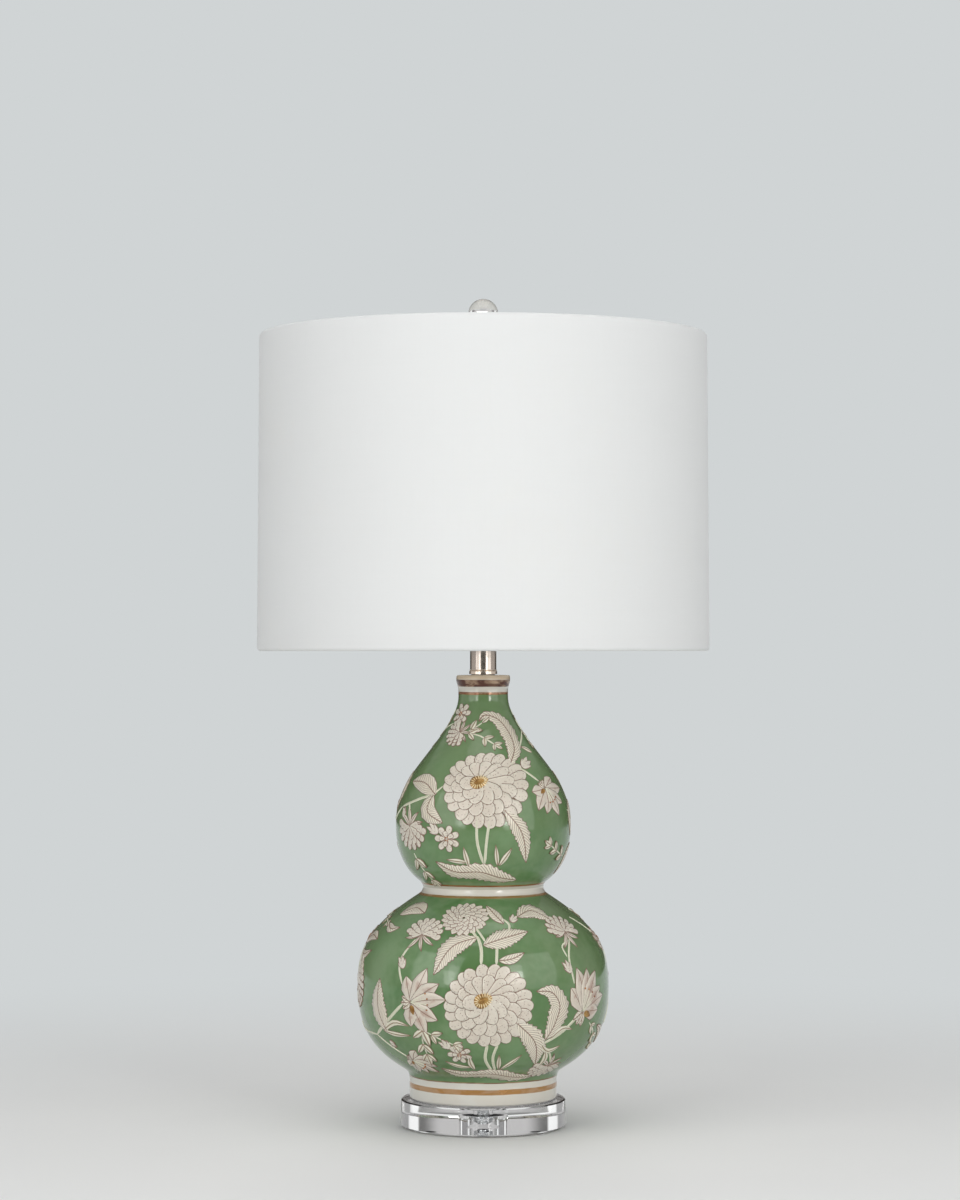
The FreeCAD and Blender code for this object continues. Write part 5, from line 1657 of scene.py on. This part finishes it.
def lower_ornament(surface: GourdSurface) -> Ornament:
    """Lays out the lower bulb's ornament.

    Args:
        surface: the body's surface.

    Returns:
        The ornament, not yet built.
    """
    return Ornament("lower", surface, (
        Flower(Bloom.MUM, (-12, 181), 20.5, 90.0, 19.5, (0.5, 0.5)),
        Flower(Bloom.ASTER, (-34, 168), 19.0, 80.0),
        Flower(Bloom.ASTER, (49, 169), 19.0, 84.0),
        Flower(Bloom.LILY, (-34, 114), 31.0, 4.0),
        Flower(Bloom.LILY, (51, 104), 37.0, 60.0, fan=0.66),
        Flower(Bloom.ASTER, (-80, 122), 20.0, 0.0),
        Flower(Bloom.LILY, (-42, 64), 21.0, -45.0),
        Flower(Bloom.ASTER, (42, 58.5), 18.0, -105.0),
        Flower(Bloom.BLOSSOM, (-12, 72), 10.5, 80.0),
        Flower(Bloom.BUD, (-16, 77), 12.0, 140.0),
        Flower(Bloom.BUD, (-39, 141), 12.0, 120.0),
        Flower(Bloom.BUD, (44, 137), 13.0, 125.0),
        Flower(Bloom.BUD, (-52, 80), 9.0, -60.0),
        Flower(Bloom.BUD, (17, 178), 11.0, 60.0),
        Flower(Bloom.BLOSSOM, (84, 160), 12.0, 20.0),
        Flower(Bloom.MUM, (0, 117.4), 37.5, 90.0, 35.0, (4.6, -5.0)),
    ), (
        Leaf(((15, 99), (25, 82), (31, 61)), 9.2, 13),
        Leaf(((-3, 167), (-14, 161), (-23, 137)), 8.4, 13),
        Leaf(((0, 161), (10, 166), (25, 171)), 9.0, 13),
        Leaf(((7, 149), (13, 150), (20, 155)), 4.4),
        Leaf(((22, 182), (33, 186), (45, 178)), 8.0, 11),
        Leaf(((12, 177), (8, 183), (2, 191)), 5.0),
        Leaf(((30.5, 83), (34.5, 98), (36, 112), (32, 122), (24, 124)), 9.6, 15),
        Leaf(((-51, 87), (-55, 106), (-54, 131)), 10.0, 13),
        Leaf(((-66, 181), (-56, 187), (-42, 184)), 8.6),
        Leaf(((-88, 156), (-78, 163), (-68, 161)), 5.4),
        Leaf(((-68, 174), (-60, 170), (-53, 172)), 4.2),
        Leaf(((-86, 150), (-78, 147), (-68, 152)), 4.0),
        Leaf(((33, 84), (40, 92), (46, 90)), 2.4),
        Leaf(((29, 79), (34, 73), (41, 77)), 2.6),
        Leaf(((-54, 88), (-44, 96), (-36, 94)), 2.6),
        Leaf(((-54, 88), (-46, 86), (-36, 86)), 2.2),
        Leaf(((38, 49), (22, 50), (4, 54), (-12, 53), (-26, 58)), 7.2, 13),
        Leaf(((33, 73), (35, 66), (34, 58)), 2.8),
        Leaf(((9, 58), (8, 72)), 2.0),
        Leaf(((10, 58), (20, 71)), 2.2),
        Leaf(((-5, 58), (-7, 64), (-7, 71)), 2.4),
        Leaf(((-7, 60), (-14, 61), (-21, 65)), 2.3),
        Leaf(((98, 150), (104, 128), (98, 108)), 8.0, 13),
        Leaf(((84, 72), (76, 84), (68, 90)), 4.6, 9),
    ), (
        Stem(((-1, 146), (-1, 158), (-3, 168)), 1.3),
        Stem(((6, 146), (7, 165)), 1.2),
        Stem(((-3, 166), (-6, 172)), 1.1),
        Stem(((1, 164), (-4, 174))),
        Stem(((13, 169), (15, 177), (12, 181))),
        Stem(((49, 163), (44, 148), (45, 128))),
        Stem(((47, 162), (42, 158), (43, 150)), 0.7),
        Stem(((29, 79), (38, 87), (48, 101)), 1.3),
        Stem(((29, 79), (36, 71), (42, 61))),
        Stem(((-39, 128), (-42, 144), (-37, 164))),
        Stem(((-62, 83), (-50, 96), (-38, 113)), 1.3),
        Stem(((-96, 90), (-80, 84), (-62, 83)), 1.0),
        Stem(((-62, 83), (-53, 74), (-43, 65))),
        Stem(((2, 82), (1, 68), (5, 57)), 1.25),
        Stem(((7, 82), (5, 70), (7, 57)), 1.15),
        Stem(((-76, 122), (-86, 112), (-96, 90)), 1.0),
        Stem(((84, 160), (92, 142), (98, 118)), 1.0),
        Stem(((66, 179), (76, 170), (84, 160)), 0.9),
        Stem(((96, 90), (90, 80), (84, 72)), 0.9),
    ), (
        Sprig(((-28, 96), (-30, 84), (-30, 70)), 3, 1.25),
        Sprig(((-27, 90), (-20, 84), (-14, 80)), 2, 1.0),
        Sprig(((58, 94), (66, 84), (70, 74)), 3, 0.9),
        Sprig(((-96, 184), (-84, 178), (-72, 174)), 3, 0.9),
    ))


# --- the shade
@dataclass
class DrumShade:
    """The shade's cloth: a drum rolled over a ring at each rim, lapped at the back.

    Sizes are in millimetres. The seam's bearing, the slope of the lap's edge and the crease are in degrees.
    """

    bottom_radius: float = 190.5
    taper: float = 1.9
    bottom: float = 401.0
    top: float = 667.7
    roll: float = 3.0
    cloth: float = 0.6
    hem_return: float = 4.0
    lap: float = 12.0
    lap_lift: float = 0.315
    lap_slope: float = 0.06
    seam: float = 90.0
    crease: float = 50.0
    rows: int = 8
    bend: int = 12
    columns: int = 180

    def profile(self) -> list[Triple]:
        """Draws the cloth's outer line, from inside the lower hem to inside the upper one.

        Returns:
            Radius, height and running length of each point.
        """
        top_radius = self.bottom_radius - self.taper
        low, high = self.bottom + self.roll, self.top - self.roll
        points = [(self.bottom_radius - 2 * self.roll, low + self.hem_return),
                  (self.bottom_radius - 2 * self.roll, low + 0.5 * self.hem_return)]
        for step in range(self.bend + 1):
            out, up = polar(self.roll, 180 + 180 * step / self.bend)
            points.append((self.bottom_radius - self.roll + out, low + up))
        for step in range(1, self.rows):
            share = step / self.rows
            points.append((self.bottom_radius - self.taper * share, low + (high - low) * share))
        for step in range(self.bend + 1):
            out, up = polar(self.roll, 180 * step / self.bend)
            points.append((top_radius - self.roll + out, high + up))
        points += [(top_radius - 2 * self.roll, high - 0.5 * self.hem_return),
                   (top_radius - 2 * self.roll, high - self.hem_return)]
        made, run = [], 0.0
        for index, point in enumerate(points):
            run += math.dist(point, points[index - 1]) if index else 0.0
            made.append((point[0], point[1], run))
        return made

    def build(self) -> bpy.types.Object:
        """Makes the cloth as a thin closed shell and puts it on the shade.

        Returns:
            The cloth.
        """
        line = self.profile()
        spots = np.array([(r, z) for r, z, _ in line])
        heading = np.gradient(spots, axis=0)
        heading /= np.linalg.norm(heading, axis=1)[:, None]
        inward = np.column_stack([-heading[:, 1], heading[:, 0]])
        reach = math.degrees(0.5 * self.lap / self.bottom_radius)
        turns = {360.0 * column / self.columns for column in range(self.columns)}
        for end in (self.seam - reach, self.seam + reach):
            turns |= {end - self.lap_slope, end + self.lap_slope}
        points, uv_of = [], []
        for turn in sorted(turns):
            lapped = self.lap_lift if abs(turn - self.seam) < reach else 0.0
            way = polar(1.0, turn)
            for ring in (spots - inward * lapped, spots + inward * self.cloth):
                for (radius, height), (_, _, run) in zip(ring, line):
                    points.append((radius * way[0] * MM, radius * way[1] * MM, height * MM))
                    uv_of.append((math.radians(turn) * self.bottom_radius * MM, run * MM))
        count = len(line)
        order = list(range(count)) + [count + i for i in reversed(range(count))]
        size, total = len(order), len(turns)
        faces = []
        for index in range(total):
            here, after = index * size, (index + 1) % total * size
            for a, b in zip(order, order[1:] + order[:1]):
                faces.append((here + a, after + a, after + b, here + b))
        mesh = Workshop.mesh("shade_cloth_drum", points, faces)
        layer = mesh.uv_layers.new(name="cloth")
        girth = 2 * math.pi * self.bottom_radius * MM
        for polygon in mesh.polygons:
            closing = polygon.vertices[0] >= (total - 1) * size
            for index in polygon.loop_indices:
                corner = mesh.loops[index].vertex_index
                u, v = uv_of[corner]
                layer.data[index].uv = (u + girth if closing and corner < size else u, v)
        mesh.materials.append(FINISHES["shade_cloth"].make())
        Workshop.soften(mesh)
        piece = Workshop.add("shade_cloth_drum", mesh)
        mesh.set_sharp_from_angle(angle=math.radians(self.crease))
        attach(piece, "shade")
        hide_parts("shade_fabric")
        LOG.info("%s: %d faces", piece.name, len(mesh.polygons))
        return piece


@dataclass
class FitterWelds:
    """Small weld beads where the spokes meet the ring and the washer. Sizes are in millimetres."""

    ring_radius: float = 184.3
    washer_radius: float = 13.0
    ring_height: float = 664.7
    washer_height: float = 655.0
    bead: Triple = (3.2, 3.4, 2.9)
    spokes: tuple[float, ...] = (90.0, 210.0, 330.0)

    def build(self) -> bpy.types.Object:
        """Makes the weld beads and puts them on the shade.

        Returns:
            The beads as one piece.
        """
        setting = Setting()
        for turn in self.spokes:
            way = (*polar(1.0, turn), 0.0)
            for radius, height, size in ((self.ring_radius, self.ring_height, 1.0),
                                         (self.washer_radius, self.washer_height, 1.1)):
                setting.places.append((way[0] * radius * MM, way[1] * radius * MM, height * MM))
                setting.aims.append(way)
                setting.outs.append((0.0, 0.0, 1.0))
                setting.sizes.append(size)
        piece = SmallShapes.set_down("fitter_weld_beads", setting, SmallShapes.bead(*self.bead),
                                     FINISHES["white_wire"], spread=0.06, seed=9)
        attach(piece, "shade")
        LOG.info("%s: %d faces", piece.name, len(piece.data.polygons))
        return piece


# --- hardware
@dataclass
class Hardware:
    """The CAD nodes that keep their shape and get a finish."""

    record: dict
    upright: tuple[str, ...] = ("neck_tube", "harp_wire", "left_harp_sleeve", "right_harp_sleeve")

    def dress(self, nodes: dict[str, bpy.types.Object]) -> None:
        """Gives each node its material.

        Args:
            nodes: the CAD nodes by name.
        """
        slots = {part["node"]: part["material_slot"] for part in self.record["subparts"]}
        for name, node in nodes.items():
            material = (DRAWN_NICKEL if name in self.upright else FINISHES[slots[name]]).make()
            for slot in node.material_slots:
                slot.material = material
            LOG.info("%s: %s", name, material.name)


# --- the studio
@dataclass(frozen=True)
class Lamp:
    """A soft area lamp: its place, its width and height, its watts, what it faces, and whether gloss shows it."""

    name: str
    place: Triple
    size: Point
    power: float
    aim: Triple
    mirrored: bool = True
    colour: Triple = (1.0, 0.985, 0.965)

    def hang(self) -> None:
        """Puts the lamp in the scene."""
        data = bpy.data.lights.new(self.name, "AREA")
        data.shape = "RECTANGLE"
        data.size, data.size_y = self.size
        data.energy = self.power
        data.color = self.colour
        lamp = Workshop.stand(self.name, data)
        lamp.location = self.place
        lamp.visible_camera = False
        lamp.visible_glossy = self.mirrored
        lamp.rotation_euler = (Vector(self.aim) - Vector(self.place)).to_track_quat("-Z", "Y").to_euler()


@dataclass
class Studio:
    """Camera, floor, backdrop and lamps. Lengths are in metres.

    Gloss shows the dark side straight ahead and straight behind, and the light side beside and above, with fades
    between. Clear pieces show the painted cards, pale and grey bands painted on the floor and the backdrop as painted
    reflections and painted light, from straight back to the sides, each with the sideways shares between which it
    takes over.
    """

    eye: Triple = (-0.0027, -2.72, 0.401)
    lens: float = 96.66
    shift: float = 0.0425
    sensor: float = 36.0
    sight: float = 60.0
    floor_rings: Point = (1.0, 6.0)
    floor_sides: int = 96
    floor_fade: Point = (0.25, 1.3)
    floor_tints: tuple[Colour, Colour] = (tint(233, 233, 232), tint(239, 239, 237))
    pale: Colour = tint(208, 212, 213)
    ambient: Colour = tint(196, 200, 204)
    ambient_strength: float = 0.5
    dark_side: Colour = tint(84, 78, 72)
    light_side: Colour = tint(218, 213, 208)
    ahead_fade: Point = (0.3, 0.8)
    behind_fade: Point = (-0.86, -0.95)
    above_fade: Point = (0.3, 0.9)
    # Pale and grey bands that clear pieces see on the floor and in the world: painted reflections of the room.
    painted_cards: tuple[tuple[Colour, Point], ...] = (
        (tint(190, 188, 188), (0.0, 0.0)),
        (tint(104, 103, 102), (0.34, 0.57)),
        (tint(252, 252, 252), (0.6, 0.64)),
        (tint(142, 141, 142), (0.77, 0.81)),
    )
    clear_floor: float = 0.8
    fan_foot: Point = (0.0137, 0.0686)
    lamps: tuple[Lamp, ...] = (
        Lamp("left_panel", (-1.8, -1.75, 1.2), (2.2, 2.0), 20.0, (0, 0, 0.3)),
        Lamp("right_panel", (1.9, -1.7, 1.1), (2.2, 2.0), 16.5, (0, 0, 0.3)),
        Lamp("left_strip", (-0.68, -1.36, 0.56), (0.26, 0.62), 0.8, (0, 0, 0.38)),
        Lamp("right_strip", (0.74, -1.3, 0.58), (0.32, 0.62), 1.2, (0, 0, 0.36)),
        Lamp("left_pane", (-1.55, -2.57, 0.8), (0.55, 0.75), 2.8, (0, 0, 0.3)),
        Lamp("right_pane", (1.55, -2.57, 0.8), (0.55, 0.75), 7.0, (0, 0, 0.3)),
        Lamp("top_soft", (0.0, -0.3, 2.6), (2.2, 2.2), 18.0, (0, 0, 0)),
        Lamp("front_soft", (0.1, -3.6, 1.5), (1.6, 1.6), 12.5, (0, 0, 0.4), mirrored=False),
        Lamp("rear_soft", (0.2, 3.2, 1.5), (1.8, 1.8), 22.0, (0, 0, 0.4), mirrored=False),
    )

    def build(self) -> None:
        """Sets the stage."""
        self.make_camera()
        self.make_floor()
        self.make_world()
        for lamp in self.lamps:
            lamp.hang()
        bpy.context.scene.view_settings.view_transform = "Standard"

    def make_camera(self) -> None:
        """Makes the camera level, with the photograph's frame."""
        data = bpy.data.cameras.new("view_camera")
        data.lens = self.lens
        data.sensor_width = self.sensor
        data.sensor_fit = "AUTO"
        data.shift_y = self.shift
        data.clip_end = self.sight
        camera = Workshop.stand("view_camera", data)
        camera.location = self.eye
        camera.rotation_euler = (math.radians(90), 0.0, 0.0)
        bpy.context.scene.camera = camera

    def make_floor(self) -> None:
        """Makes a round pale floor that fades into the backdrop."""
        points, sides = [(0.0, 0.0, 0.0)], self.floor_sides
        for radius in self.floor_rings:
            points += [(*polar(radius, 360 * side / sides), 0.0) for side in range(sides)]
        faces: list[tuple[int, ...]] = []
        for side in range(sides):
            after = (side + 1) % sides
            faces.append((0, 1 + side, 1 + after))
            faces.append((1 + side, 1 + sides + side, 1 + sides + after, 1 + after))
        mesh = Workshop.mesh("pale_floor", points, faces)
        mesh.materials.append(self.floor_material())
        floor = Workshop.add("pale_floor", mesh)

    def floor_material(self) -> bpy.types.Material:
        """Makes the floor's material: clear pieces see painted cards and painted light, the camera the backdrop far
        out.

        Returns:
            The material.
        """
        material = bpy.data.materials.new("pale_floor")
        graph = Graph.fresh(material)
        place = graph.where()
        cloud = graph.noise(place, 3.0, 3.0)
        cover = graph.fill(graph.node("ShaderNodeBsdfDiffuse"), Color=graph.mix(cloud, *self.floor_tints))
        spot = graph.split(place)
        far = graph.slant(spot["X"], spot["Y"])
        path = graph.node("ShaderNodeLightPath").outputs
        across = graph.plus(graph.size_of(spot["X"]), self.fan_foot[0])
        behind = graph.less(spot["Y"], self.fan_foot[1])
        share = graph.math("DIVIDE", across, graph.greater(graph.slant(across, behind), MM))
        aside = graph.times(share, graph.math("GREATER_THAN", behind, 0.0))
        shown = graph.mix(path["Is Transmission Ray"], self.pale, self.through_clear(graph, aside))
        plain = graph.fill(graph.node("ShaderNodeEmission"), Color=shown)
        seen = graph.greater(path["Is Camera Ray"], path["Is Glossy Ray"])
        cast = graph.times(graph.smooth(far, *self.floor_fade), seen)
        # Clear pieces see mostly the emitted cards instead of the lit floor: painted light under the clear disc,
        # where its shadow falls.
        emitted_share = graph.greater(cast, graph.times(path["Is Transmission Ray"], self.clear_floor))
        top = graph.blend(emitted_share, cover.outputs[0], plain.outputs[0])
        under = graph.times(path["Is Camera Ray"], graph.node("ShaderNodeNewGeometry").outputs["Backfacing"])
        both = graph.blend(under, top, graph.node("ShaderNodeBsdfTransparent").outputs[0])
        graph.fill(graph.node("ShaderNodeOutputMaterial"), Surface=both)
        return material

    def through_clear(self, graph: Graph, aside: Socket) -> Socket:
        """Gives the pale and grey painted cards, painted reflections that show through clear pieces.

        Args:
            graph: the graph of the floor or the world.
            aside: how far to the side it looks, from 0 straight back to 1.

        Returns:
            The colour's socket.
        """
        shown: object = self.painted_cards[0][0]
        for card, ends in self.painted_cards[1:]:
            shown = graph.mix(graph.smooth(aside, *ends), shown, card)
        return shown

    def make_world(self) -> None:
        """Makes the even light and the pale backdrop."""
        world = bpy.data.worlds.new("soft_studio")
        graph = Graph.fresh(world)
        path = graph.node("ShaderNodeLightPath").outputs
        way = graph.split(graph.node("ShaderNodeTexCoord").outputs["Generated"])
        facing = graph.math("DIVIDE", way["Y"], graph.greater(graph.slant(way["X"], way["Y"]), 0.05))
        dark = graph.greater(graph.smooth(facing, *self.ahead_fade), graph.smooth(facing, *self.behind_fade))
        bright = graph.greater(graph.less(1.0, dark), graph.smooth(way["Z"], *self.above_fade))
        studio = graph.mix(bright, self.dark_side, self.light_side)
        # Clear pieces see the painted cards in the world too: painted reflections, not an even backdrop.
        through = self.through_clear(graph, graph.size_of(way["X"]))
        light = graph.fill(graph.node("ShaderNodeBackground"), Color=self.ambient, Strength=self.ambient_strength)
        surface = light.outputs[0]
        views = {"Is Glossy Ray": studio, "Is Transmission Ray": through, "Is Camera Ray": self.pale}
        for sees, colour in views.items():
            shine = graph.fill(graph.node("ShaderNodeBackground"), Color=colour, Strength=1.0)
            surface = graph.blend(path[sees], surface, shine.outputs[0])
        graph.fill(graph.node("ShaderNodeOutputWorld"), Surface=surface)
        bpy.context.scene.world = world


def main() -> None:
    """Builds the stage, the ornament, the shade and the finishes."""
    logging.basicConfig(level=logging.INFO, format="%(name)s %(message)s")
    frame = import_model()
    Studio().build()
    Hardware(frame["record"]).dress(frame["nodes"])
    surface = GourdSurface()
    upper_ornament(surface).build()
    lower_ornament(surface).build()
    DrumShade().build()
    FitterWelds().build()


if __name__ == "__main__":
    main()
